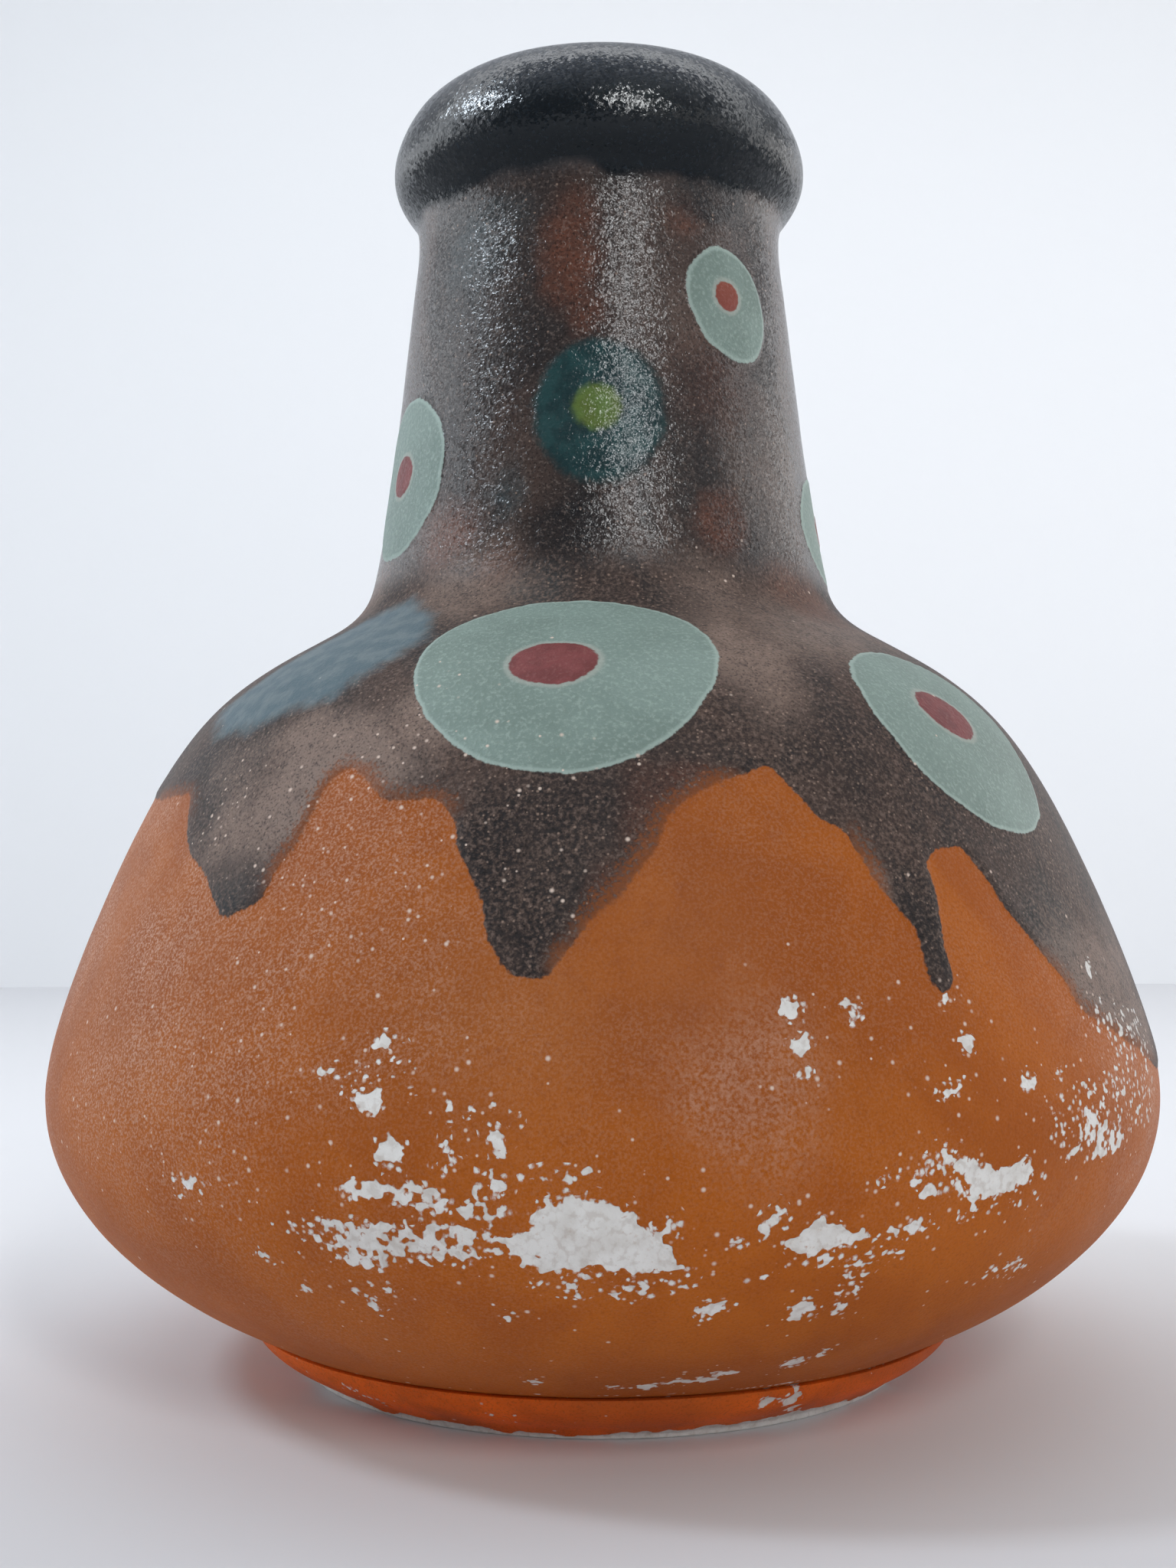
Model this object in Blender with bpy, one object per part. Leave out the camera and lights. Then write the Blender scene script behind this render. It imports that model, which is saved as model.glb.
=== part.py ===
"""Bottle-shaped ceramic vase: foot ring, lower bowl, shoulder, neck and rolled rim.

Each turned section is its own solid.  The sections stack on stepped joints: the
lower section carries an upright tongue on the inner half of its wall, and the
section above has the matching rebate, with a thin luting gap all the way round.

Metres, +Z up, origin on the vase's axis in the plane it stands on.
"""
import math

import bmesh
import bpy

MM = 0.001                     # profile dimensions below are in millimetres

# ---------------------------------------------------------------- dimensions
SEGMENTS = 64                  # facets round the axis
LUTE_GAP = 0.3                 # slip joint between neighbouring sections
TONGUE_H = 3.0                 # height of the tongue in every wall joint

FOOT_BOTTOM_R = 46.8           # outer edge of the ring the vase stands on
FOOT_TOP_R = 55.0              # outer edge where the ring meets the bowl
FOOT_H = 7.7                   # height of the ring
FOOT_BEVEL = 0.6               # softened outer bottom edge
FOOT_INNER_BOTTOM_R = 38.6     # inner edge of the standing surface
FOOT_INNER_TOP_R = 40.3        # socket for the boss under the bowl

BASE_BOSS_R = 40.0             # boss under the bowl, inside the foot ring
BASE_UNDER_Z = 4.6             # underside of the floor
FLOOR_Z = 11.2                 # inside floor
FLOOR_R = 41.0                 # where the floor starts to rise into the wall
FLOOR_FILLET_R = 47.5          # a point on the fillet between floor and wall
FLOOR_FILLET_Z = 11.7

WALL = 5.5                     # wall thickness

# outside of the vase, (radius, height), foot to crest
BODY_START = (54.9, 8.0)       # just above the foot groove
UNDER_LOW = (67.91, 15.45)     # underside of the belly
UNDER_MID = (77.65, 24.36)
UNDER_HIGH = (83.16, 33.61)
BELLY = (84.8, 42.5)           # widest circle
FLANK_LOW = (82.59, 54.42)
FLANK_MID = (76.57, 70.86)
FLANK_HIGH = (69.04, 86.85)
FLANK_TOP = (63.84, 95.15)
SHOULDER_TURN = (58.24, 101.24)  # flank rolls over into the shoulder
SHOULDER_TOP = (51.07, 106.51)
SHOULDER_END = (44.59, 110.25)
NECK_SWEEP = (40.13, 113.14)   # hollow curve from shoulder to neck
NECK_HOLLOW = (37.05, 116.67)
NECK_FOOT = (35.5, 121.48)
NECK_LOW = (33.51, 132.99)
NECK_MID = (30.96, 152.97)
NECK_HIGH = (29.16, 168.03)
NECK_END = (28.62, 175.53)     # narrowest, under the rim
RIM_SWEEP = (29.15, 178.54)    # hollow curve from neck to roll
RIM_UNDER = (30.9, 181.19)
RIM_LOW = (32.35, 184.02)
RIM_WIDEST = (32.61, 187.0)    # outside of the roll
RIM_HIGH = (31.72, 190.51)
RIM_TURN = (29.69, 194.25)
RIM_OVER = (26.58, 197.26)
RIM_TOP = (23.62, 198.83)
RIM_CREST = (20.9, 199.4)      # top of the roll
MOUTH_R = 18.0                 # narrowest part of the mouth
MOUTH_Z = 192.0

BOWL_JOINT_Z = 46.0            # bowl to shoulder
NECK_JOINT_Z = 123.0           # shoulder to neck
RIM_JOINT_Z = 177.0            # neck to rim

BODY_STATIONS = [BODY_START, UNDER_LOW, UNDER_MID, UNDER_HIGH, BELLY, FLANK_LOW,
                 FLANK_MID, FLANK_HIGH, FLANK_TOP, SHOULDER_TURN, SHOULDER_TOP,
                 SHOULDER_END, NECK_SWEEP, NECK_HOLLOW, NECK_FOOT, NECK_LOW, NECK_MID,
                 NECK_HIGH, NECK_END, RIM_SWEEP, RIM_UNDER, RIM_LOW, RIM_WIDEST,
                 RIM_HIGH, RIM_TURN, RIM_OVER, RIM_TOP, RIM_CREST]


# ------------------------------------------------------------ profile curves
class Curve:
    """Smooth curve through the stations: a natural cubic spline on chord length."""

    def __init__(self, stations):
        self.p = stations
        self.t = [0.0]
        for a, b in zip(stations, stations[1:]):
            self.t.append(self.t[-1] + math.hypot(b[0] - a[0], b[1] - a[1]))
        self.m = [self._second([p[k] for p in stations]) for k in (0, 1)]

    def _second(self, y):
        """Second derivatives at the stations, by the usual tridiagonal sweep."""
        n, t = len(y), self.t
        c, d = [0.0] * n, [0.0] * n
        for i in range(1, n - 1):
            h0, h1 = t[i] - t[i - 1], t[i + 1] - t[i]
            rhs = 6.0 * ((y[i + 1] - y[i]) / h1 - (y[i] - y[i - 1]) / h0)
            den = 2.0 * (h0 + h1) - h0 * c[i - 1]
            c[i] = h1 / den
            d[i] = (rhs - h0 * d[i - 1]) / den
        m = [0.0] * n
        for i in range(n - 2, 0, -1):
            m[i] = d[i] - c[i] * m[i + 1]
        return m

    def _span(self, t):
        for i in range(len(self.t) - 1):
            if t <= self.t[i + 1] or i == len(self.t) - 2:
                return i

    def point(self, t):
        i = self._span(t)
        h = self.t[i + 1] - self.t[i]
        a, b = self.t[i + 1] - t, t - self.t[i]
        out = []
        for k in (0, 1):
            m0, m1 = self.m[k][i], self.m[k][i + 1]
            y0, y1 = self.p[i][k], self.p[i + 1][k]
            out.append((m0 * a ** 3 + m1 * b ** 3) / (6 * h)
                       + (y0 / h - m0 * h / 6) * a + (y1 / h - m1 * h / 6) * b)
        return out[0], out[1]

    def inside(self, t, depth):
        """Point at the given depth below the outer surface."""
        e = 0.01
        r0, z0 = self.point(max(0.0, t - e))
        r1, z1 = self.point(min(self.t[-1], t + e))
        dr, dz = r1 - r0, z1 - z0
        s = math.hypot(dr, dz)
        r, z = self.point(t)
        return r - depth * dz / s, z + depth * dr / s

    def at_height(self, z, depth=0.0):
        """Curve parameter where the surface at that depth reaches height z."""
        lo, hi = 0.0, self.t[-1]
        for _ in range(60):
            mid = 0.5 * (lo + hi)
            if self.inside(mid, depth)[1] < z:
                lo = mid
            else:
                hi = mid
        return 0.5 * (lo + hi)

    def run(self, z0, z1, steps, depth=0.0):
        """Points from height z0 to z1, evenly spaced along the curve."""
        t0, t1 = self.at_height(z0, depth), self.at_height(z1, depth)
        return [self.inside(t0 + (t1 - t0) * i / steps, depth) for i in range(steps + 1)]


BODY = Curve(BODY_STATIONS)


def quarter_roll(r_a, z_a, r_b, z_b, power, steps):
    """Quarter of a superellipse from a, level there, to b, upright there."""
    pts = []
    for i in range(steps + 1):
        w = 0.5 * math.pi * i / steps
        c, s = math.cos(w) ** (2.0 / power), math.sin(w) ** (2.0 / power)
        pts.append((r_a + (r_b - r_a) * s, z_b + (z_a - z_b) * c))
    return pts


def joint_radius(z):
    """Middle of the wall at a joint, the outer face of the tongue."""
    return BODY.inside(BODY.at_height(z), 0.5 * WALL)[0]


# ------------------------------------------------------------------ sections
def foot_profile():
    return [(FOOT_INNER_TOP_R, FOOT_H),
            (FOOT_INNER_TOP_R - 0.2, 0.62 * FOOT_H),
            (FOOT_INNER_BOTTOM_R + 0.3, 0.10 * FOOT_H),
            (FOOT_INNER_BOTTOM_R + 0.9, 0.0),
            (FOOT_BOTTOM_R - FOOT_BEVEL, 0.0),
            (FOOT_BOTTOM_R, 0.8 * FOOT_BEVEL),
            (0.5 * (FOOT_BOTTOM_R + FOOT_TOP_R) + 0.55, 0.44 * FOOT_H),
            (FOOT_TOP_R - 1.1, 0.80 * FOOT_H),
            (FOOT_TOP_R, 0.95 * FOOT_H),
            (FOOT_TOP_R - 0.3, FOOT_H)]


def bowl_profile():
    tongue_r = joint_radius(BOWL_JOINT_Z)
    seat_z = FOOT_H + LUTE_GAP
    outer = BODY.run(BODY_START[1], BOWL_JOINT_Z, 10)
    inner = BODY.run(BODY.inside(0.0, WALL)[1], BOWL_JOINT_Z + TONGUE_H, 7, WALL)
    under = [(0.0, BASE_UNDER_Z), (0.5 * BASE_BOSS_R, BASE_UNDER_Z),
             (BASE_BOSS_R, BASE_UNDER_Z), (BASE_BOSS_R, seat_z)]
    tongue = [(tongue_r, BOWL_JOINT_Z), (tongue_r, BOWL_JOINT_Z + TONGUE_H)]
    floor = [(FLOOR_FILLET_R, FLOOR_FILLET_Z), (FLOOR_R, FLOOR_Z),
             (0.5 * FLOOR_R, FLOOR_Z), (0.0, FLOOR_Z)]
    return under + outer + tongue + inner[::-1] + floor


def shoulder_profile():
    low_r, high_r = joint_radius(BOWL_JOINT_Z) + LUTE_GAP, joint_radius(NECK_JOINT_Z)
    outer = BODY.run(BOWL_JOINT_Z + LUTE_GAP, NECK_JOINT_Z, 15)
    inner = BODY.run(BOWL_JOINT_Z + TONGUE_H + LUTE_GAP, NECK_JOINT_Z + TONGUE_H, 10, WALL)
    rebate = [(low_r, BOWL_JOINT_Z + TONGUE_H + LUTE_GAP), (low_r, BOWL_JOINT_Z + LUTE_GAP)]
    tongue = [(high_r, NECK_JOINT_Z), (high_r, NECK_JOINT_Z + TONGUE_H)]
    return rebate + outer + tongue + inner[::-1]


def neck_profile():
    low_r, high_r = joint_radius(NECK_JOINT_Z) + LUTE_GAP, joint_radius(RIM_JOINT_Z)
    inner_top_r = NECK_END[0] - WALL
    outer = BODY.run(NECK_JOINT_Z + LUTE_GAP, RIM_JOINT_Z, 6)
    inner = BODY.run(NECK_JOINT_Z + TONGUE_H + LUTE_GAP, RIM_JOINT_Z - 1.0, 5, WALL)
    rebate = [(low_r, NECK_JOINT_Z + TONGUE_H + LUTE_GAP), (low_r, NECK_JOINT_Z + LUTE_GAP)]
    tongue = [(high_r, RIM_JOINT_Z), (high_r, RIM_JOINT_Z + TONGUE_H),
              (inner_top_r, RIM_JOINT_Z + TONGUE_H)]
    return rebate + outer + tongue + inner[::-1]


def rim_profile():
    low_r = joint_radius(RIM_JOINT_Z) + LUTE_GAP
    seat_z, step_z = RIM_JOINT_Z + LUTE_GAP, RIM_JOINT_Z + TONGUE_H + LUTE_GAP
    inner_r = NECK_END[0] - WALL
    rebate = [(low_r, step_z), (low_r, seat_z)]
    roll = BODY.run(seat_z, RIM_CREST[1], 14)
    fall = quarter_roll(RIM_CREST[0], RIM_CREST[1], MOUTH_R, MOUTH_Z, 2.0, 4)
    throat = [(MOUTH_R + 1.1, MOUTH_Z - 5.0), (inner_r - 1.1, step_z + 2.6), (inner_r, step_z)]
    return rebate + roll + fall[1:] + throat


# ------------------------------------------------------------------ turning
def finish_material(name, colour, roughness):
    mat = bpy.data.materials.new(name)
    mat.use_nodes = True
    bsdf = mat.node_tree.nodes["Principled BSDF"]
    bsdf.inputs["Base Color"].default_value = (*colour, 1.0)
    bsdf.inputs["Roughness"].default_value = roughness
    bsdf.inputs["Metallic"].default_value = 0.0
    mat.diffuse_color = (*colour, 1.0)
    return mat


def turned(name, profile, base_z, mat, parent):
    """Spin a section's half-profile round +Z into one closed solid."""
    bm = bmesh.new()
    verts = [bm.verts.new((r * MM, 0.0, (z - base_z) * MM)) for r, z in profile]
    edges = [bm.edges.new(pair) for pair in zip(verts, verts[1:])]
    if profile[0][0] > 0.0:
        edges.append(bm.edges.new((verts[-1], verts[0])))
    bmesh.ops.spin(bm, geom=verts + edges, cent=(0.0, 0.0, 0.0), axis=(0.0, 0.0, 1.0),
                   angle=2.0 * math.pi, steps=SEGMENTS, use_merge=False)
    bmesh.ops.remove_doubles(bm, verts=bm.verts[:], dist=0.00001)
    bmesh.ops.recalc_face_normals(bm, faces=bm.faces[:])
    mesh = bpy.data.meshes.new(name)
    bm.to_mesh(mesh)
    bm.free()
    mesh.shade_smooth()
    mesh.set_sharp_from_angle(angle=math.radians(40.0))
    mesh.materials.append(mat)
    obj = bpy.data.objects.new(name, mesh)
    bpy.context.scene.collection.objects.link(obj)
    obj.parent = parent
    obj.location = (0.0, 0.0, base_z * MM)
    return obj


def build():
    for obj in list(bpy.data.objects):
        bpy.data.objects.remove(obj, do_unlink=True)

    axis = bpy.data.objects.new("vase_axis", None)
    bpy.context.scene.collection.objects.link(axis)

    turned("foot_ring", foot_profile(), 0.0,
           finish_material("foot_glaze", (0.42, 0.10, 0.025), 0.55), axis)
    turned("lower_bowl", bowl_profile(), FOOT_H + LUTE_GAP,
           finish_material("orange_glaze", (0.48, 0.14, 0.03), 0.50), axis)
    turned("shoulder", shoulder_profile(), BOWL_JOINT_Z,
           finish_material("drip_glaze", (0.16, 0.07, 0.035), 0.42), axis)
    turned("neck", neck_profile(), NECK_JOINT_Z,
           finish_material("mottled_glaze", (0.055, 0.035, 0.03), 0.35), axis)
    turned("rim", rim_profile(), RIM_JOINT_Z,
           finish_material("black_glaze", (0.012, 0.014, 0.018), 0.28), axis)
    bpy.context.view_layer.update()


build()
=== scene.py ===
"""Looks of the ceramic vase: a bottle form in satin burnt orange, with a dark glaze
that runs down from the rim in drips, pale green discs with red centres, and the
white clay body showing where the glaze has flaked.

Lengths in the profile and decoration sections are millimetres; meshes are metres.
Azimuth 0 faces the viewer (-Y) and grows towards the viewer's right (+X).
"""

import math

import bpy
import numpy as np
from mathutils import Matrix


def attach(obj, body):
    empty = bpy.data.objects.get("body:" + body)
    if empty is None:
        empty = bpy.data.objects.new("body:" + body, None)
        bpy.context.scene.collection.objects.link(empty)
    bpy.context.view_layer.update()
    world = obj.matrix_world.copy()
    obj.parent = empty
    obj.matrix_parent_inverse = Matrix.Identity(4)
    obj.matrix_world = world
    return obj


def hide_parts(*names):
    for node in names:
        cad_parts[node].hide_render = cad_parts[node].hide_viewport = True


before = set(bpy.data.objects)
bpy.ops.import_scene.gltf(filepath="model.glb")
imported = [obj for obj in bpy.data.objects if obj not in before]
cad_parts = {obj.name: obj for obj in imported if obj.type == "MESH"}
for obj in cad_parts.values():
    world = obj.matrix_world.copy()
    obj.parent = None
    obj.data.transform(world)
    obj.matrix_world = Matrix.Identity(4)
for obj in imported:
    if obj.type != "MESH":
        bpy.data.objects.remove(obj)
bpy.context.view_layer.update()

MM = 0.001
PI = math.pi

# ------------------------------------------------------------------- camera
PHOTO_W, PHOTO_H = 1536.0, 2048.0
FOCAL_PX = 2400.0
CAM_DIST = 293.7
CAM_HEIGHT = 77.7
CAM_UP = math.radians(2.2)
CAM_X = -2.08
CAM_ROLL = math.radians(0.18)


# ------------------------------------------------------------------ profile
def spline(stations, step=0.05):
    """Natural cubic spline on chord length, as a dense polyline."""
    p = np.array(stations, float)
    t = np.concatenate([[0.0], np.cumsum(np.hypot(*np.diff(p, axis=0).T))])
    n = len(p)
    a = np.zeros((n, n))
    b = np.zeros((n, 2))
    a[0, 0] = a[-1, -1] = 1.0
    for i in range(1, n - 1):
        h0, h1 = t[i] - t[i - 1], t[i + 1] - t[i]
        a[i, i - 1:i + 2] = h0, 2 * (h0 + h1), h1
        b[i] = 6 * ((p[i + 1] - p[i]) / h1 - (p[i] - p[i - 1]) / h0)
    m = np.linalg.solve(a, b)
    q = np.linspace(0.0, t[-1], int(t[-1] / step) + 2)
    i = np.clip(np.searchsorted(t, q, side="right") - 1, 0, n - 2)
    h = (t[i + 1] - t[i])[:, None]
    u, v = (t[i + 1] - q)[:, None], (q - t[i])[:, None]
    return ((m[i] * u ** 3 + m[i + 1] * v ** 3) / (6 * h)
            + (p[i] / h - m[i] * h / 6) * u + (p[i + 1] / h - m[i + 1] * h / 6) * v)


def roll(r_a, z_a, r_b, z_b, power, steps, upright):
    """Quarter of a superellipse from a to b."""
    w = np.linspace(0.0, 0.5 * PI, steps + 1)
    c, s = np.cos(w) ** (2.0 / power), np.sin(w) ** (2.0 / power)
    if upright:
        return np.stack([r_b + (r_a - r_b) * c, z_a + (z_b - z_a) * s], 1)
    return np.stack([r_a + (r_b - r_a) * s, z_b + (z_a - z_b) * c], 1)


def dense(points, step=0.05):
    """Resample a polyline evenly."""
    p = np.asarray(points, float)
    keep = np.concatenate([[True], np.hypot(*np.diff(p, axis=0).T) > 1e-9])
    p = p[keep]
    s = np.concatenate([[0.0], np.cumsum(np.hypot(*np.diff(p, axis=0).T))])
    q = np.linspace(0.0, s[-1], max(2, int(round(s[-1] / step)) + 1))
    return np.stack([np.interp(q, s, p[:, 0]), np.interp(q, s, p[:, 1])], 1)


def arclen(p):
    return np.concatenate([[0.0], np.cumsum(np.hypot(*np.diff(p, axis=0).T))])


SIDE = spline([(54.9, 8.0), (67.91, 15.45), (77.65, 24.36), (83.16, 33.61), (84.8, 42.5), (82.59, 54.42),
               (76.57, 70.86), (69.04, 86.85), (63.84, 95.15), (58.24, 101.24), (51.07, 106.51),
               (44.59, 110.25), (40.13, 113.14), (37.05, 116.67), (35.5, 121.48), (33.51, 132.99),
               (30.96, 152.97), (29.16, 168.03), (28.62, 175.53), (29.15, 178.54), (30.9, 181.19),
               (32.35, 184.02), (32.61, 187.0), (31.72, 190.51), (29.69, 194.25), (26.58, 197.26),
               (23.62, 198.83), (20.9, 199.4)])
BODY = SIDE[SIDE[:, 1] < 177.3]
BODY_S = arclen(BODY)
WALL = 5.5


def body_at_z(z):
    s = np.interp(z, BODY[:, 1], BODY_S)
    return s


def body_point(s):
    """Radius, height and outward normal of the body at arc length s."""
    r, z = np.interp(s, BODY_S, BODY[:, 0]), np.interp(s, BODY_S, BODY[:, 1])
    e = 0.2
    dr = np.interp(s + e, BODY_S, BODY[:, 0]) - np.interp(s - e, BODY_S, BODY[:, 0])
    dz = np.interp(s + e, BODY_S, BODY[:, 1]) - np.interp(s - e, BODY_S, BODY[:, 1])
    k = np.hypot(dr, dz)
    return r, z, dz / k, -dr / k


# ------------------------------------------------------------- photo to pot
def on_pot(px, py):
    """Azimuth (degrees) and arc length (mm) where a photo pixel's ray meets the body."""
    u, v = (px - PHOTO_W / 2) / FOCAL_PX, (py - PHOTO_H / 2) / FOCAL_PX
    c, n = math.cos(CAM_ROLL), math.sin(CAM_ROLL)
    u, v = u * c - v * n, u * n + v * c
    d = np.array([u, math.cos(CAM_UP) + v * math.sin(CAM_UP), math.sin(CAM_UP) - v * math.cos(CAM_UP)])
    t = np.linspace(180.0, 330.0, 6001)
    p = np.array([CAM_X, -CAM_DIST, CAM_HEIGHT])[None] + t[:, None] * d[None]
    gap = np.hypot(p[:, 0], p[:, 1]) - np.interp(p[:, 2], BODY[:, 1], BODY[:, 0])
    gap[(p[:, 2] < 8.0) | (p[:, 2] > 177.2)] = 99.0
    i = int(np.argmax(gap < 0)) if (gap < 0).any() else int(np.argmin(gap))
    return (math.degrees(math.atan2(p[i, 0], -p[i, 1])), float(body_at_z(p[i, 2])))


# -------------------------------------------------------------------- noise
def _lattice(i, j, k, seed):
    h = (i * 374761393 + j * 668265263 + k * 1442695041 + seed * 974634823) & 0xFFFFFFFF
    h = ((h ^ (h >> 13)) * 1274126177) & 0xFFFFFFFF
    h = ((h ^ (h >> 15)) * 2246822519) & 0xFFFFFFFF
    return ((h ^ (h >> 16)) & 0xFFFFFF).astype(np.float64) / float(0xFFFFFF)


def noise3(x, y, z, size, seed):
    """Smooth value noise in 0..1 with features of about the given size in mm."""
    x, y, z = x / size + 1000.5, y / size + 1000.5, z / size + 1000.5
    i, j, k = (np.floor(v).astype(np.int64) for v in (x, y, z))
    fx, fy, fz = x - i, y - j, z - k
    fx, fy, fz = (f * f * f * (f * (f * 6 - 15) + 10) for f in (fx, fy, fz))
    out = 0.0
    for a in (0, 1):
        wa = fx if a else 1 - fx
        for b in (0, 1):
            wb = fy if b else 1 - fy
            for c in (0, 1):
                wc = fz if c else 1 - fz
                out = out + wa * wb * wc * _lattice(i + a, j + b, k + c, seed)
    return out


def fbm(x, y, z, size, seed, octaves=3):
    total, amp, norm = 0.0, 1.0, 0.0
    for o in range(octaves):
        total = total + amp * noise3(x, y, z, size / 2 ** o, seed + 17 * o)
        norm += amp
        amp *= 0.55
    return total / norm


def smooth(a, b, v):
    t = np.clip((v - a) / (b - a), 0.0, 1.0)
    return t * t * (3 - 2 * t)


# --------------------------------------------------------------- decoration
# Lower edge of the dark glaze.  The front follows the photo's runs by pixel;
# the sides and back carry on with runs of the same rhythm, as azimuth and height.
RUNS_FRONT = [(211, 1049), (240, 1037), (253, 1033), (247, 1075), (248, 1106), (262, 1135),
              (274, 1153), (281, 1184), (293, 1200), (318, 1192), (342, 1180), (350, 1160),
              (363, 1137), (389, 1106), (404, 1080), (415, 1054), (431, 1022), (448, 1010),
              (462, 1003), (475, 1015), (489, 1033), (500, 1046), (515, 1049), (545, 1047),
              (567, 1046), (588, 1064), (600, 1095), (614, 1132), (625, 1170), (635, 1211),
              (645, 1238), (656, 1258), (672, 1275), (692, 1282), (708, 1279), (716, 1272),
              (745, 1237), (775, 1203), (808, 1169), (838, 1135), (860, 1106), (869, 1085),
              (876, 1064), (905, 1042), (938, 1022), (970, 1008), (998, 999), (1010, 1006),
              (1020, 1016), (1045, 1043), (1067, 1068), (1090, 1078), (1106, 1089), (1116, 1108),
              (1127, 1128), (1152, 1160), (1179, 1193), (1195, 1222), (1205, 1249), (1212, 1270),
              (1218, 1287), (1226, 1293), (1234, 1292), (1240, 1279), (1236, 1240), (1226, 1193),
              (1214, 1150), (1207, 1118), (1222, 1108), (1248, 1102), (1262, 1110), (1270, 1120),
              (1290, 1150), (1313, 1184), (1334, 1213), (1356, 1240), (1376, 1267), (1395, 1292),
              (1416, 1322), (1440, 1340)]
RUNS_BACK = [(67, 47.5), (72, 46.0), (77, 49.0), (82, 58.0), (88, 73.0), (94, 84.0), (100, 90.0),
             (107, 88.0), (112, 78.0), (116, 66.0), (119, 56.0), (122, 53.0), (126, 57.0),
             (131, 72.0), (137, 85.0), (143, 91.5), (149, 92.5), (154, 86.0), (158, 73.0),
             (162, 58.0), (165, 48.0), (168.5, 45.0), (172, 48.5), (176, 60.0), (181, 74.0),
             (187, 86.0), (194, 91.0), (200, 89.5), (204, 81.0), (207, 73.0), (209.5, 70.0),
             (212, 73.0), (216, 83.0), (221, 90.0), (227, 93.5), (233, 90.0), (238, 79.0),
             (242, 66.0), (245, 57.0), (248, 54.0), (251.5, 57.0), (256, 68.0), (262, 80.0),
             (269, 88.5), (276, 88.0)]
RUN_RADIUS = 71.0              # reference radius of the unrolled drip band


def run_edge():
    pts = [on_pot(*p) for p in RUNS_FRONT]
    pts += [(a, float(body_at_z(z))) for a, z in RUNS_BACK]
    p = np.array(pts)
    cut = p[:, 0] > 180.0
    p = np.concatenate([np.stack([p[cut, 0] - 360.0, p[cut, 1]], 1), p[~cut]])
    # one pass of corner rounding
    q = np.concatenate([p[-8:] - [360.0, 0.0], p, p[:8] + [360.0, 0.0]])
    a, b = 0.75 * q[:-1] + 0.25 * q[1:], 0.25 * q[:-1] + 0.75 * q[1:]
    q = np.stack([a, b], 1).reshape(-1, 2)
    return np.stack([np.radians(q[:, 0]) * RUN_RADIUS, q[:, 1]], 1)


def run_distance(x, s, edge):
    """Signed distance to the drip edge, positive inside the dark glaze."""
    best = np.full(x.shape, 1e9)
    inside = np.zeros(x.shape, bool)
    for (x0, y0), (x1, y1) in zip(edge, edge[1:]):
        dx, dy = x1 - x0, y1 - y0
        t = np.clip(((x - x0) * dx + (s - y0) * dy) / (dx * dx + dy * dy + 1e-12), 0, 1)
        best = np.minimum(best, (x - x0 - t * dx) ** 2 + (s - y0 - t * dy) ** 2)
        hit = (x0 <= x) != (x1 <= x)
        y = y0 + (x - x0) * dy / (dx if abs(dx) > 1e-9 else 1e-9)
        inside ^= hit & (y < s)
    return np.sqrt(best) * np.where(inside, 1.0, -1.0)


# Discs: azimuth, arc length, half sizes along and across, tilt, and the centre dot's
# offset and half sizes.  Kinds: pale disc with a red dot, teal disc with a lime dot,
# plain teal disc.
DISCS = [
    ("pale", -5.2, 115.2, 20.3, 18.9, 0, (-1.2, -0.1), (5.8, 4.7), 5),
    ("pale", 49.8, 104.6, 17.6, 16.2, -28, (-1.6, 2.4), (5.4, 4.0), -30),
    ("pale", 39.2, 183.2, 7.5, 8.9, 20, (-0.6, 1.2), (2.3, 2.4), 0),
    ("pale", -63.5, 158.6, 11.3, 12.6, 0, (0.0, 0.6), (3.3, 3.2), 0),
    ("pale", 81.0, 151.8, 11.2, 8.6, 8, (0.4, 0.3), (3.0, 2.6), 0),
    ("pale", 121.0, 111.5, 18.2, 17.0, 10, (1.0, 0.8), (5.2, 4.2), 12),
    ("pale", 205.0, 109.0, 19.0, 16.8, -8, (-0.8, 1.2), (5.4, 4.3), -8),
    ("pale", 132.0, 170.5, 9.6, 10.6, -12, (0.3, 0.5), (2.7, 2.8), 0),
    ("pale", 224.0, 183.0, 8.6, 9.2, 12, (0.2, 0.4), (2.5, 2.6), 0),
    ("pale", 205.0, 150.0, 10.8, 9.2, 0, (0.0, 0.2), (3.0, 2.7), 0),
    ("lime", -0.4, 165.2, 9.5, 10.7, 0, (-0.3, 0.5), (3.5, 3.4), 0),
    ("lime", 171.0, 166.0, 9.4, 9.8, 0, (0.2, 0.4), (3.3, 3.3), 0),
    ("teal", 163.0, 119.0, 16.0, 10.5, -10, None, None, 0),
    ("teal", 262.0, 131.0, 12.0, 9.0, 15, None, None, 0),
]

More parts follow.
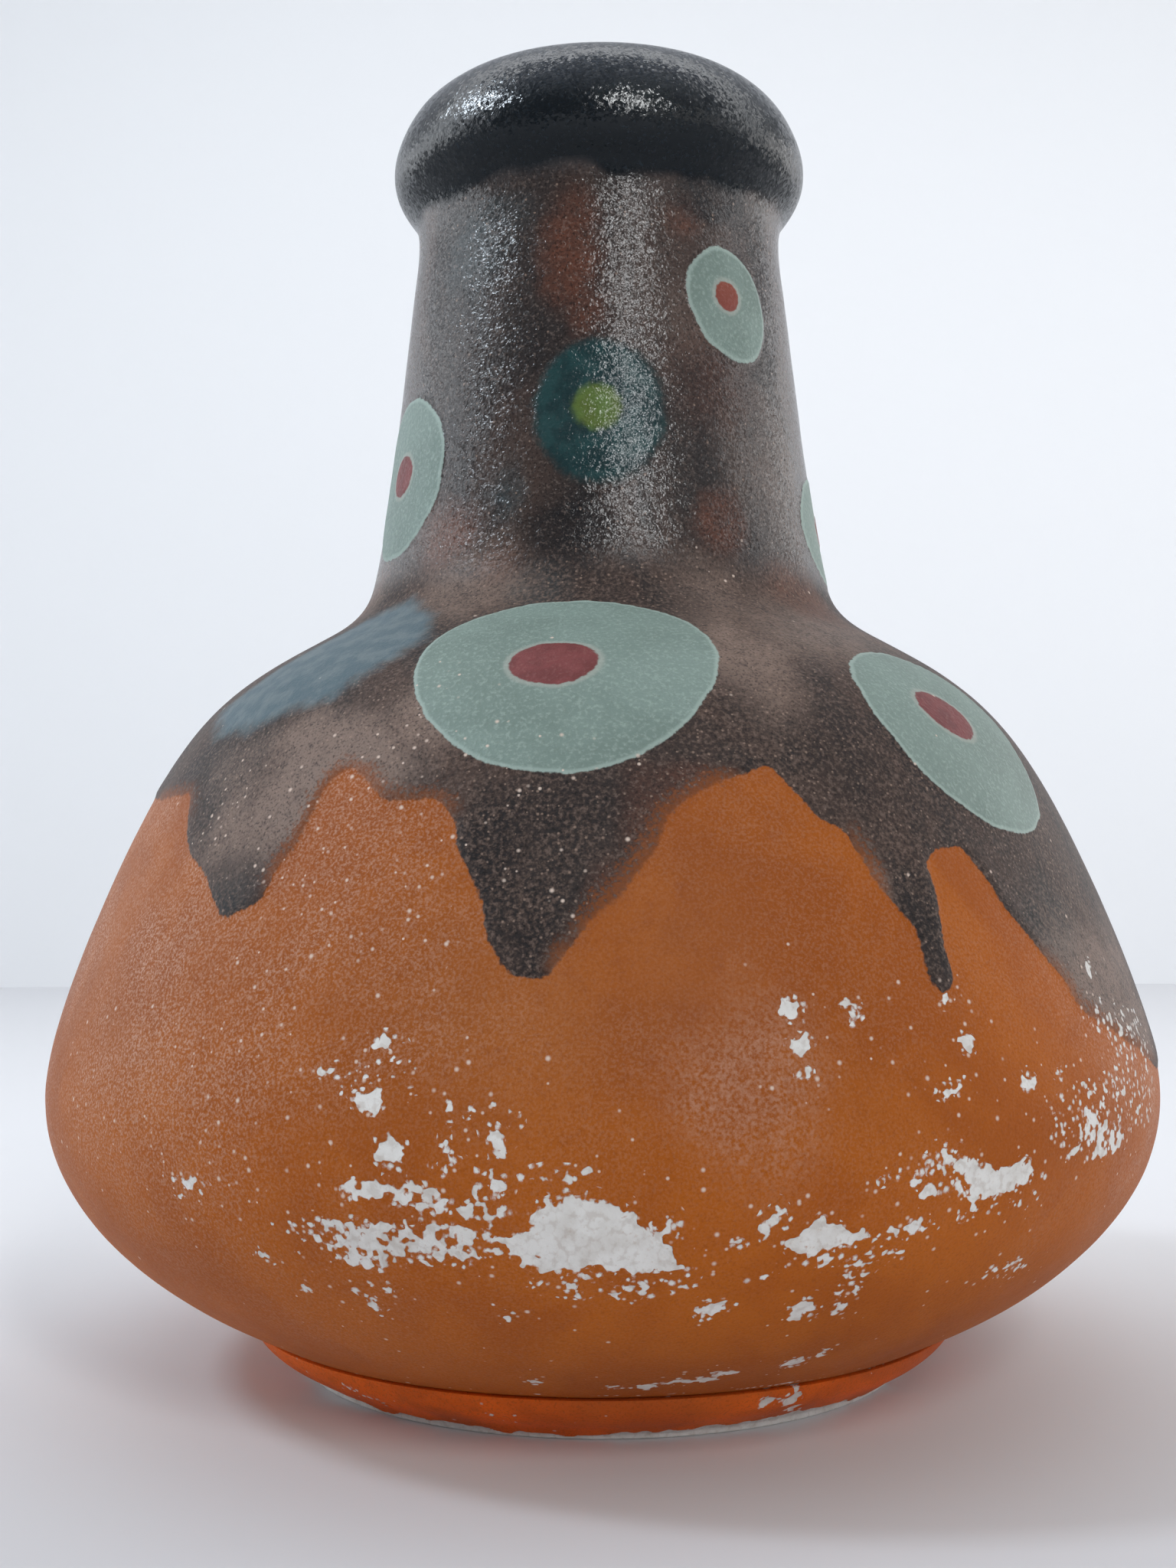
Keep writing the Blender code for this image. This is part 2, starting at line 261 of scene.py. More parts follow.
# Flaked places: photo pixel of the middle and half sizes in pixels.
FLAKES = [
    (505, 1365, 20, 13), (484, 1440, 20, 18), (470, 1424, 12, 8), (506, 1504, 18, 19), (613, 1451, 9, 11),
    (583, 1449, 5, 5), (580, 1490, 4, 12), (650, 1486, 11, 28), (584, 1521, 14, 9), (644, 1548, 10, 16),
    (612, 1581, 9, 9), (693, 1681, 5, 4),
    (745, 1681, 10, 8), (821, 1682, 13, 10), (890, 1684, 8, 6), (928, 1710, 20, 10), (484, 1698, 9, 11),
    (397, 1684, 6, 5), (505, 1681, 5, 4), (1033, 1320, 14, 18), (1111, 1319, 13, 13), (1048, 1362, 13, 11),
    (1051, 1402, 8, 7), (1262, 1361, 14, 12), (1344, 1410, 9, 13), (1222, 1427, 8, 6), (1240, 1430, 9, 8),
    (1386, 1402, 5, 5), (1408, 1500, 8, 6),
    (1234, 1506, 8, 8), (1192, 1547, 8, 7), (1153, 1543, 5, 5), (1215, 1555, 12, 6), (1268, 1566, 10, 6),
    (1352, 1558, 5, 5), (1010, 1596, 12, 14), (1195, 1600, 16, 10), (1164, 1608, 9, 6), (1125, 1654, 9, 8),
    (1106, 1687, 7, 11), (1097, 1707, 8, 7), (1048, 1711, 14, 13), (1002, 1665, 5, 4), (967, 1624, 7, 5),
    (1327, 1659, 7, 5), (1302, 1656, 4, 4), (246, 1544, 10, 7), (232, 1560, 6, 4), (1034, 1782, 12, 6), (888, 1806, 20, 3), (846, 1812, 14, 3), (800, 1813, 9, 2), (922, 1802, 12, 3),
    (946, 1795, 16, 3), (1422, 1266, 4, 8), (1076, 1768, 6, 4), (700, 1806, 6, 2),
    (660, 1722, 6, 4), (345, 1640, 5, 4), (1235, 1305, 9, 8),
]
# Places with loose crumbs only, in the same form.
CRUMBS = [
    (484, 1404, 54, 16), (586, 1521, 20, 14), (655, 1470, 22, 24),
    (641, 1553, 18, 26), (728, 1535, 32, 14), (525, 1616, 122, 18), (500, 1646, 60, 8), (600, 1584, 40, 10),
    (745, 1676, 34, 18), (821, 1682, 28, 16), (880, 1668, 26, 14), (928, 1708, 26, 14), (484, 1694, 18, 16),
    (1048, 1364, 18, 16), (1240, 1420, 18, 8), (1440, 1456, 60, 46), (1470, 1430, 24, 50),
    (1408, 1497, 14, 12), (1225, 1530, 40, 30), (1290, 1580, 40, 8), (1352, 1548, 12, 16), (1010, 1600, 18, 24),
    (1100, 1645, 60, 12), (1190, 1604, 30, 14), (1115, 1670, 16, 34), (1050, 1712, 20, 16), (1315, 1658, 20, 8),
    (246, 1548, 18, 9), (870, 1625, 22, 34), (1474, 1352, 26, 40), (1492, 1412, 20, 60), (1440, 1330, 14, 18),
]
# Larger flaked patches, outlined by photo pixels.
BARS = [
    [(436, 1540), (455, 1534), (480, 1542), (512, 1548), (534, 1530), (548, 1540), (572, 1562), (594, 1576),
     (590, 1590), (562, 1586), (530, 1576), (490, 1566), (455, 1560), (436, 1554)],
    [(400, 1600), (420, 1592), (445, 1600), (480, 1598), (520, 1606), (560, 1598), (600, 1602), (640, 1610),
     (662, 1620), (654, 1642), (610, 1648), (560, 1645), (520, 1648), (500, 1664), (476, 1660), (450, 1642),
     (420, 1630), (402, 1616)],
    [(1416, 1452), (1432, 1446), (1442, 1468), (1462, 1466), (1470, 1490), (1450, 1506), (1424, 1510), (1412, 1490)],
]
PATCHES = [
    [(656, 1622), (688, 1600), (706, 1574), (728, 1562), (770, 1560), (798, 1568), (830, 1588), (856, 1608),
     (876, 1634), (890, 1654), (860, 1664), (820, 1661), (786, 1658), (745, 1654), (711, 1662), (688, 1650)],
    [(1228, 1500), (1251, 1511), (1285, 1519), (1318, 1524), (1346, 1511), (1347, 1536), (1318, 1556),
     (1290, 1562), (1268, 1568), (1251, 1534)],
    [(1022, 1624), (1056, 1604), (1075, 1592), (1100, 1606), (1142, 1605), (1146, 1616), (1110, 1630),
     (1070, 1640), (1036, 1640)],
]
# Flaked places out of the photo's sight: azimuth, height, half sizes in mm.
FLAKES_FAR = [
    (98, 40, 7, 3.0), (104, 33, 10, 3.5), (112, 37, 4, 2.5), (121, 52, 3, 2.5), (139, 30, 13, 4.5), (147, 34, 8, 4.0),
    (160, 27, 9, 2.6), (173, 41, 4, 3.0), (182, 36, 3, 2.4), (196, 29, 12, 3.4), (205, 33, 10, 4.6), (213, 44, 4, 3.0),
    (228, 48, 3, 3.0), (236, 31, 9, 3.0), (247, 26, 6, 2.2), (258, 38, 8, 3.4), (266, 45, 3, 2.6), (275, 30, 7, 2.6),
]


# Slate band on the left shoulder, outlined by photo pixels.
BAND = [(540, 783), (480, 812), (400, 855), (330, 900), (288, 934), (284, 966), (330, 956), (431, 916),
        (500, 874), (560, 838), (576, 802)]
# Clouds in the dark glaze: kind, photo pixel of the middle, half sizes in pixels, strength.
CLOUDS = [
    ("rust", 745, 338, 44, 84, 0.95), ("rust", 765, 405, 34, 36, 0.8), ("rust", 586, 702, 42, 46, 1.0),
    ("rust", 938, 682, 34, 48, 0.8), ("rust", 890, 292, 28, 34, 0.6), ("rust", 1048, 786, 30, 30, 0.7),
    ("rust", 925, 500, 60, 70, 0.35), ("rust", 650, 735, 40, 30, 0.4),
    ("brown", 440, 985, 100, 62, 1.2), ("brown", 380, 1050, 70, 80, 1.1), ("brown", 320, 1080, 50, 70, 0.9), ("brown", 560, 940, 70, 50, 0.95),
    ("rust", 850, 1085, 40, 84, 0.45), ("rust", 800, 1180, 30, 58, 0.4), ("rust", 892, 1030, 46, 34, 0.5),
    ("brown", 960, 850, 66, 70, 1.0), ("brown", 1062, 826, 76, 54, 0.8), ("brown", 612, 772, 70, 54, 0.8),
    ("brown", 930, 780, 60, 40, 0.5), ("brown", 1000, 620, 44, 90, 0.3), ("brown", 900, 420, 40, 60, 0.2),
    ("brown", 1150, 1170, 18, 60, 0.7), ("brown", 1440, 1270, 66, 90, 1.1), ("brown", 1478, 1340, 36, 60, 1.5), ("brown", 330, 1010, 60, 50, 0.5),
    ("teal", 622, 330, 42, 66, 0.55), ("teal", 650, 285, 44, 30, 0.45), ("teal", 664, 640, 34, 42, 0.7),
    ("teal", 704, 770, 46, 30, 0.5), ("teal", 300, 1178, 34, 28, 0.6), ("teal", 1370, 1200, 46, 60, 0.35),
    ("black", 745, 690, 70, 66, 1.0), ("black", 930, 262, 70, 52, 1.0), ("black", 640, 1120, 44, 120, 1.0),
    ("black", 690, 1230, 44, 60, 1.0), ("black", 300, 1165, 48, 46, 0.8), ("black", 1120, 1000, 70, 70, 0.7),
    ("black", 1205, 1200, 30, 90, 0.9), ("black", 880, 800, 50, 34, 0.6), ("black", 720, 1050, 90, 40, 0.7),
    ("black", 960, 930, 40, 60, 0.6), ("black", 690, 480, 40, 60, 0.4),
    ("brown", 470, 800, 90, 40, 0.7),
    ("thin", 850, 1100, 62, 90, 1.0), ("thin", 792, 1190, 50, 70, 1.0), ("thin", 385, 1085, 56, 80, 1.0),
    ("thin", 432, 1022, 50, 40, 0.9), ("thin", 1136, 1126, 22, 60, 0.6), ("thin", 905, 1036, 60, 34, 0.8),
    ("thin", 560, 1040, 60, 30, 0.5), ("thin", 482, 1020, 50, 34, 0.8), ("thin", 735, 1250, 30, 30, 0.6),
    ("thin", 225, 1050, 40, 40, 0.7), ("thin", 1450, 1290, 60, 90, 0.8), ("thin", 1478, 1345, 36, 46, 1.0),
    ("fleck", 470, 1160, 170, 170, 1.0), ("fleck", 570, 1140, 90, 130, 1.0), ("fleck", 330, 1400, 190, 140, 0.55),
    ("fleck", 250, 1545, 150, 80, 0.8), ("fleck", 640, 1020, 190, 60, 0.55), ("fleck", 292, 1066, 40, 54, 1.0),
    ("fleck", 690, 1130, 90, 120, 0.5), ("fleck", 520, 1480, 160, 160, 0.5), ("fleck", 560, 930, 120, 60, 0.5),
    ("fleck", 420, 1640, 140, 70, 0.6), ("fleck", 1240, 1600, 160, 90, 0.35), ("fleck", 1420, 1440, 80, 90, 0.6), ("fleck", 1476, 1345, 36, 50, 2.2),
    ("fleck", 484, 1402, 58, 24, 2.4), ("fleck", 673, 1455, 16, 18, 2.0), ("fleck", 728, 1536, 36, 16, 1.6),
    ("fleck", 1440, 1455, 70, 60, 1.6), ("fleck", 745, 1681, 26, 20, 1.8), ("fleck", 644, 1548, 18, 24, 1.8),
    ("fleck", 780, 1680, 140, 30, 1.0), ("fleck", 440, 1690, 90, 40, 0.9), ("fleck", 943, 1632, 20, 26, 1.4),
    # the white fleck clouds at 530, 975 and 284, 1068 on the left shoulder are crumbs that also paint glints: painted
    # highlights
    ("fleck", 530, 975, 64, 56, 1.6), ("fleck", 284, 1068, 26, 18, 1.8), ("fleck", 940, 740, 40, 40, 0.6), ("fleck", 830, 1700, 240, 60, 0.4), ("fleck", 130, 1440, 60, 120, 0.7),
    # the pink-grain clouds here paint a soft sheen on the orange, right of centre on the belly and along the right
    # edge: painted sheen
    ("pink_grains_and_sheen", 980, 1430, 100, 160, 0.6), ("pink_grains_and_sheen", 1488, 1450, 28, 110, 1.3), ("pink_grains_and_sheen", 1400, 1590, 56, 50, 0.6),
]


S_RIM = float(body_at_z(177.0)) + 0.9
CLOUD_KINDS = ("rust", "brown", "teal", "black", "thin", "fleck", "pink_grains_and_sheen")


def ellipse(th, s, r, a0, s0, ha, hb, tilt):
    d = (th - math.radians(a0) + PI) % (2 * PI) - PI
    u, v = d * r, s - s0
    c, n = math.cos(math.radians(tilt)), math.sin(math.radians(tilt))
    x, y = (u * c + v * n) / ha, (-u * n + v * c) / hb
    return (1.0 - np.sqrt(x * x + y * y)) * min(ha, hb)


EDGE = run_edge()
FLAKE_SPOTS = []
for _px, _py, _w, _h in FLAKES:
    _a, _s = on_pot(_px, _py)
    _l, _t = on_pot(_px - _w, _py), on_pot(_px, _py - _h)
    _b = on_pot(_px, _py + _h)
    _r = float(body_point(np.array([_s]))[0][0])
    FLAKE_SPOTS.append((_a, _s, max(0.4, abs(math.radians(_a - _l[0])) * _r), max(0.4, 0.5 * abs(_t[1] - _b[1]))))
for _a, _z, _w, _h in FLAKES_FAR:
    FLAKE_SPOTS.append((_a, float(body_at_z(_z)), 0.45 * _w, 0.50 * _h))
    FLAKE_SPOTS.append((_a + 0.35 * _w, float(body_at_z(_z)) + 0.5 * _h, 0.22 * _w, 0.30 * _h))
CRUMB_SPOTS = []
for _px, _py, _w, _h in CRUMBS:
    _a, _s = on_pot(_px, _py)
    _l, _t = on_pot(_px - _w, _py), on_pot(_px, _py - _h)
    _b = on_pot(_px, _py + _h)
    _r = float(body_point(np.array([_s]))[0][0])
    CRUMB_SPOTS.append((_a, _s, max(0.4, abs(math.radians(_a - _l[0])) * _r), max(0.4, 0.5 * abs(_t[1] - _b[1]))))
for _a, _z, _w, _h in FLAKES_FAR:
    CRUMB_SPOTS.append((_a + 2.0, float(body_at_z(_z)) - 1.5, 1.2 * _w, 1.1 * _h))
PATCH_EDGES = []
for _ring in PATCHES + BARS:
    _e = np.array([on_pot(*p) for p in _ring + _ring[:1]])
    _r = float(body_point(_e[:, 1])[0].mean())
    PATCH_EDGES.append((_r, 0.30 if _ring in BARS else 1.15, np.stack([np.radians(_e[:, 0]) * _r, _e[:, 1]], 1)))


CLOUD_SPOTS = []
for _k, _px, _py, _w, _h, _g in CLOUDS:
    _a, _s = on_pot(_px, _py)
    _l, _m = on_pot(_px - _w, _py), on_pot(_px + _w, _py)
    _t, _b = on_pot(_px, _py - _h), on_pot(_px, _py + _h)
    _r = float(body_point(np.array([_s]))[0][0])
    CLOUD_SPOTS.append((_k, _a, _s, max(2.0, 0.5 * abs(math.radians(_m[0] - _l[0])) * _r),
                        max(2.0, 0.5 * abs(_t[1] - _b[1])), _g))


BAND_EDGE = np.array([on_pot(*p) for p in BAND + BAND[:1]])
BAND_RADIUS = float(body_point(BAND_EDGE[:, 1])[0].mean())
BAND_EDGE[:, 0] = np.radians(BAND_EDGE[:, 0]) * BAND_RADIUS


def surface_fields(th, s, r, z):
    """Decoration over the outer skin.  All arrays have one shape; s is arc length,
    below 0 on the foot ring and past the body's end on the rim."""
    x, y = r * np.sin(th), -r * np.cos(th)
    f = {}
    wob = lambda size, seed, amp: (fbm(x, y, z, size, seed, 2) - 0.5) * 2 * amp
    w1, w2 = wob(5.0, 3, 0.9), wob(5.0, 4, 0.9)
    # dark glaze
    near = (s > 40.0) & (s < 130.0)
    dark = np.where(s >= 130.0, 20.0, -20.0)
    if near.any():
        dark[near] = run_distance((th * RUN_RADIUS + 0.7 * w1)[near], (s + 0.7 * w2)[near], EDGE)
    f["dark"] = np.clip(dark, -20.0, 20.0)
    # discs and dots
    pale = np.full(th.shape, -9.0)
    red, teal, lime = pale.copy(), pale.copy(), pale.copy()
    v1, v2 = wob(3.5, 5, 0.35), wob(3.5, 6, 0.35)
    for kind, a0, s0, ha, hb, tilt, off, dot, dot_tilt in DISCS:
        e = ellipse(th + v1 / r, s + v2, r, a0, s0, ha, hb, tilt)
        body = {"pale": pale, "lime": teal, "teal": teal}[kind]
        np.maximum(body, e, out=body)
        if dot:
            rd = float(body_point(np.array([s0]))[0][0])
            e = ellipse(th + v1 / r, s + v2, r, a0 + math.degrees(off[0] / rd), s0 + off[1], dot[0], dot[1], dot_tilt)
            centre = red if kind == "pale" else lime
            np.maximum(centre, e, out=centre)
    f["pale"], f["red"], f["teal"], f["lime"] = pale, red, teal, lime
    # clouds: placed ones in front, drifting ones round the back
    far = smooth(math.radians(72), math.radians(100), np.abs(th))
    soft = (fbm(x, y, z, 9.0, 51, 3) - 0.5) * 0.9
    f["rim"] = smooth(-1.0, 1.2, s - S_RIM + (fbm(x, y, z, 8.0, 71, 2) - 0.5) * 5.0)
    slate = np.full(th.shape, -9.0)
    near = (s > 95.0) & (s < 150.0) & (th < 0)
    if near.any():
        slate[near] = run_distance((th * BAND_RADIUS + w1)[near], (s + w2)[near], BAND_EDGE)
    f["slate"] = np.clip(slate, -9.0, 9.0)
    for i, kind in enumerate(CLOUD_KINDS):
        c = far * smooth(0.50, 0.66, fbm(x, y, z * 0.55, 24.0, 60 + i, 2))
        for k, a0, s0, ha, hb, amount in CLOUD_SPOTS:
            if k == kind:
                d = (th - math.radians(a0) + PI) % (2 * PI) - PI
                q = np.hypot(d * r / ha, (s - s0) / hb)
                c = np.maximum(c, amount * (1 - smooth(0.35, 1.35, q + soft)))
        f["c_" + kind] = c
    # flaked glaze: how far inside a flake, in mm, as 0.5 at its edge
    sway1, sway2 = wob(4.0, 33, 0.8), wob(4.0, 34, 0.8)
    depth = np.full(th.shape, -9.0)
    for a0, s0, ha, hb, most in [c + (9.0,) for c in FLAKE_SPOTS] + [c + (-0.25,) for c in CRUMB_SPOTS]:
        d = (th - math.radians(a0) + PI) % (2 * PI) - PI
        near = (np.abs(d * r) < ha + 8.0) & (np.abs(s - s0) < hb + 8.0)
        if near.any():
            q = np.hypot((d[near] * r[near] + 0.4 * sway1[near]) / ha, (s[near] - s0 + 0.4 * sway2[near]) / hb)
            depth[near] = np.maximum(depth[near], np.minimum((1.0 - q) * min(ha, hb), most))
    for radius, most, edge in PATCH_EDGES:
        lo, hi = edge.min(0) - 6.0, edge.max(0) + 6.0
        u, v = th * radius + sway1, s + sway2
        near = (u > lo[0]) & (u < hi[0]) & (v > lo[1]) & (v < hi[1])
        if near.any():
            depth[near] = np.maximum(depth[near], np.minimum(run_distance(u[near], v[near], edge), most))
    # worn dashes along the belly's bottom edge
    along = noise3(x, y, z * 0.0, 5.0, 36) + 0.28 * np.exp(-((th - 0.42) / 0.30) ** 2)
    depth = np.maximum(depth, np.where(s < 4.0, (along - 0.74) * 3.0 - 1.6 * np.abs(s - 1.1), -9.0))
    f["flake"] = np.clip(0.5 + depth / 4.4, 0.0, 1.0)
    f["c_fleck"] = np.maximum(f["c_fleck"], 1.1 * np.exp(np.minimum(depth, 0.0) / 2.2) * (depth > -8.9))
    return f, (x, y)


# ------------------------------------------------------------------ meshing
class Loop:
    """Half-profile of one section, walked once round the outline of its wall."""

    def __init__(self):
        self.r, self.z, self.s, self.kind = [], [], [], []

    def add(self, pts, kind, s=None):
        pts = np.asarray(pts, float)
        for i, (r, z) in enumerate(pts):
            if self.r and math.hypot(r - self.r[-1], z - self.z[-1]) < 1e-6:
                continue
            self.r.append(r)
            self.z.append(z)
            self.s.append(0.0 if s is None else float(s[i]))
            self.kind.append(kind)
        return self


OUTER, INNER, HIDDEN, UNDER = 0, 1, 2, 3


def lathe(name, loop, columns, relief, axis_ends=False):
    """Turn a loop into one closed mesh with relief, fields and an unrolled map."""
    r, z, s = (np.array(v) for v in (loop.r, loop.z, loop.s))
    kind = np.array(loop.kind)
    m, n = len(r), columns
    nxt, prv = np.roll(np.arange(m), -1), np.roll(np.arange(m), 1)
    if axis_ends:
        nxt[-1], prv[0] = m - 1, 0
    same_n, same_p = kind[nxt] == kind, kind[prv] == kind
    nxt_k, prv_k = np.where(same_n, nxt, np.arange(m)), np.where(same_p, prv, np.arange(m))
    alone = nxt_k == prv_k
    nxt_k, prv_k = np.where(alone, nxt, nxt_k), np.where(alone, prv, prv_k)
    tr, tz = r[nxt_k] - r[prv_k], z[nxt_k] - z[prv_k]
    k = np.hypot(tr, tz)
    nr, nz = tz / k, -tr / k
    th = np.linspace(-PI, PI, n, endpoint=False)
    TH = np.broadcast_to(th[None], (m, n)).copy()
    R, Z, S = (np.broadcast_to(v[:, None], (m, n)).copy() for v in (r, z, s))
    K = np.broadcast_to(kind[:, None], (m, n)).copy()
    fields, lift = relief(TH, S, R, Z, K)
    RR, ZZ = R + nr[:, None] * lift, Z + nz[:, None] * lift
    co = np.stack([RR * np.sin(TH), -RR * np.cos(TH), ZZ], 2).reshape(-1, 3) * MM

    rows = m - 1 if axis_ends else m
    i0 = np.arange(rows)
    i1 = (i0 + 1) % m
    j0 = np.arange(n)
    j1 = (j0 + 1) % n
    quads = np.stack([(i0[:, None] * n + j0[None]), (i0[:, None] * n + j1[None]),
                      (i1[:, None] * n + j1[None]), (i1[:, None] * n + j0[None])], 2).reshape(-1, 4)
    # unrolled map: columns across, wall outline up the side, the outer skin given most room
    seg = np.hypot(r[i1[:rows]] - r[i0], z[i1[:rows]] - z[i0])
    weight = np.where((kind[i0] == OUTER) & (kind[i1[:rows]] == OUTER), 1.0,
                      np.where(kind[i0] == UNDER, 0.6, 0.3))
    v_at = np.concatenate([[0.0], np.cumsum(seg * weight)])
    v_at = 0.002 + 0.996 * v_at / v_at[-1]
    u_at = 0.002 + 0.996 * np.arange(n + 1) / n
    u0, u1 = np.broadcast_to(u_at[None, :-1], (rows, n)), np.broadcast_to(u_at[None, 1:], (rows, n))
    v0, v1 = np.broadcast_to(v_at[:-1, None], (rows, n)), np.broadcast_to(v_at[1:, None], (rows, n))
    uv = np.stack([np.stack([u0, v0], 2), np.stack([u1, v0], 2), np.stack([u1, v1], 2),
                   np.stack([u0, v1], 2)], 2).reshape(-1, 2)
    loops, starts, totals = quads.reshape(-1), np.arange(0, 4 * len(quads), 4), np.full(len(quads), 4)

    extra = {}
    if axis_ends:                       # close both ends on the axis with a fan
        base = len(co)
        co = np.concatenate([co, [[0, 0, z[0] * MM], [0, 0, z[-1] * MM]]])
        lo = np.stack([np.full(n, base), j1, j0], 1)
        hi = np.stack([np.full(n, base + 1), (m - 1) * n + j0, (m - 1) * n + j1], 1)
        fan = np.concatenate([lo, hi])
        umid = 0.5 * (u_at[:-1] + u_at[1:])
        fan_uv = np.concatenate([
            np.stack([np.stack([umid, np.zeros(n)], 1), np.stack([u_at[1:], np.full(n, v_at[0])], 1),
                      np.stack([u_at[:-1], np.full(n, v_at[0])], 1)], 1).reshape(-1, 2),
            np.stack([np.stack([umid, np.ones(n)], 1), np.stack([u_at[:-1], np.full(n, v_at[-1])], 1),
                      np.stack([u_at[1:], np.full(n, v_at[-1])], 1)], 1).reshape(-1, 2)])
        starts = np.concatenate([starts, len(loops) + np.arange(0, 3 * len(fan), 3)])
        totals = np.concatenate([totals, np.full(len(fan), 3)])
        loops = np.concatenate([loops, fan.reshape(-1)])
        uv = np.concatenate([uv, fan_uv])
        extra = {key: (val[0].mean(), val[-1].mean()) for key, val in fields.items()}

    mesh = bpy.data.meshes.new(name)
    mesh.vertices.add(len(co))
    mesh.vertices.foreach_set("co", co.astype(np.float32).ravel())
    mesh.loops.add(len(loops))
    mesh.loops.foreach_set("vertex_index", loops.astype(np.int32))
    mesh.polygons.add(len(starts))
    mesh.polygons.foreach_set("loop_start", starts.astype(np.int32))
    mesh.polygons.foreach_set("loop_total", totals.astype(np.int32))
    layer = mesh.uv_layers.new(name="OFBake")
    layer.data.foreach_set("uv", uv.astype(np.float32).ravel())
    mesh.update(calc_edges=True)
    # the outline is walked anticlockwise in the (r, z) plane; flip if it came out inside out
    c = co[loops.reshape(-1)[:4 * len(quads)].reshape(-1, 4)]
    vol = np.einsum("ij,ij->i", c[:, 0], np.cross(c[:, 1] - c[:, 0], c[:, 2] - c[:, 0])).sum() \
        + np.einsum("ij,ij->i", c[:, 0], np.cross(c[:, 2] - c[:, 0], c[:, 3] - c[:, 0])).sum()
    if vol < 0:
        mesh.flip_normals()
    for key, val in fields.items():
        att = mesh.attributes.new(key, "FLOAT", "POINT")
        data = val.astype(np.float32).ravel()
        if extra:
            data = np.concatenate([data, np.array(extra[key], np.float32)])
        att.data.foreach_set("value", data)
    mesh.shade_smooth()
    mesh.set_sharp_from_angle(angle=math.radians(55.0))
    obj = bpy.data.objects.new(name, mesh)
    bpy.context.scene.collection.objects.link(obj)
    return obj


def body_relief(TH, S, R, Z, K):
    """Relief of the outer skin in mm: hand-thrown unevenness, thick glaze runs, raised
    enamel discs, and hollows where the glaze has flaked."""
    f, (x, y) = surface_fields(TH, S, R, Z)
    out = K == OUTER
    throw = 0.30 * (fbm(x, y, Z, 46.0, 11, 2) - 0.5) + 0.10 * (fbm(x, y, Z * 2.5, 14.0, 12, 2) - 0.5)
    d = f["dark"]
    glaze = 0.22 * smooth(-0.6, 1.0, d) + 0.08 * smooth(-0.4, 0.8, d) * (1 - smooth(0.8, 4.0, d))
    disc = 0.20 * smooth(-0.35, 0.45, f["pale"]) + 0.10 * smooth(-0.3, 0.4, f["red"])
    disc = disc + 0.12 * smooth(-0.4, 0.5, f["teal"]) + 0.10 * smooth(-0.3, 0.4, f["lime"])
    lift = throw + glaze + disc - 0.12 * smooth(0.50, 0.66, f["flake"])
    lift = np.where(out, lift, 0.0)
    f["inside"] = np.where(K == INNER, 1.0, 0.0)
    f["under"] = np.where(K == UNDER, 1.0, 0.0)
    return f, lift


# foot ring, from the standing face up the tapering side to the groove
FOOT_SIDE = dense(np.concatenate([
    [(39.6, 0.0), (46.1, 0.0)],
    roll(46.1, 0.0, 46.85, 0.6, 2.0, 8, False),
    spline([(46.85, 0.6), (48.7, 1.95), (51.45, 3.6), (54.05, 6.1), (54.80, 7.38)], 0.2)[1:],
    roll(54.80, 7.38, 54.25, 7.68, 2.0, 6, True)[1:],
]))


def foot_relief(TH, S, R, Z, K):
    x, y = R * np.sin(TH), -R * np.cos(TH)
    zero = np.full(TH.shape, -9.0)
    f = {"dark": zero - 11.0, "pale": zero.copy(), "red": zero.copy(), "teal": zero.copy(), "lime": zero.copy()}
    f.update({"c_" + k: np.zeros(TH.shape) for k in CLOUD_KINDS})
    f["slate"], f["rim"], f["c_fleck"] = zero.copy(), np.zeros(TH.shape), f["c_fleck"] + 0.05
    # chipped standing edge and a few stray chips
    patch = noise3(x, y, Z * 0.3, 11.0, 43)
    crumb = 0.6 * noise3(x, y, Z, 3.2, 41) + 0.4 * noise3(x, y, Z, 1.5, 42)
    chip = 0.55 + 1.5 * smooth(0.35, 0.85, patch) + 1.6 * (crumb - 0.5) + 0.6 * np.exp(-((TH - 0.55) / 0.35) ** 2) - Z
    stray = -0.62 + 1.05 * (noise3(x, y, Z, 2.2, 45) - 0.12) * smooth(0.70, 0.90, noise3(x, y, Z, 9.0, 46) + 0.30 * np.exp(-((TH - 0.62) / 0.22) ** 2))
    flake = np.maximum(chip, stray)
    flake = np.where(Z < 0.05, 0.5, flake)
    out = K == OUTER
    f["flake"] = np.where(out, np.clip(0.5 + 0.8 * flake, 0, 1), 1.0)
    side = smooth(0.05, 0.5, Z) * (1 - smooth(7.2, 7.6, Z))
    lift = side * (0.22 * (fbm(x, y, Z, 20.0, 47, 2) - 0.5) - (0.20 + 0.25 * patch) * smooth(-0.04, 0.20, flake))
    lift = np.where(out, lift, 0.0)
    f["inside"] = np.zeros(TH.shape)
    f["under"] = np.where(K == UNDER, 1.0, 0.0)
    return f, lift


BOWL_TOP, NECK_BASE, NECK_TOP, TONGUE = 46.0, 123.0, 177.0, 3.0
S_BOWL, S_NECK, S_END = (float(body_at_z(v)) for v in (BOWL_TOP, NECK_BASE, NECK_TOP))


def outer_run(s0, s1, rows):
    s = np.linspace(s0, s1, rows + 1)
    r, z, _, _ = body_point(s)
    return np.stack([r, z], 1), s


def inner_run(z0, z1, rows):
    """Inside of the wall between two heights, going up."""
    r, z, nr, nz = body_point(BODY_S)
    ri, zi = r - WALL * nr, z - WALL * nz
    q = np.linspace(np.interp(z0, zi, BODY_S), np.interp(z1, zi, BODY_S), rows + 1)
    return np.stack([np.interp(q, BODY_S, ri), np.interp(q, BODY_S, zi)], 1)


def mid_wall(z):
    r, _, nr, _ = body_point(body_at_z(np.array([z])))
    return float(r[0] - 0.5 * WALL * nr[0])


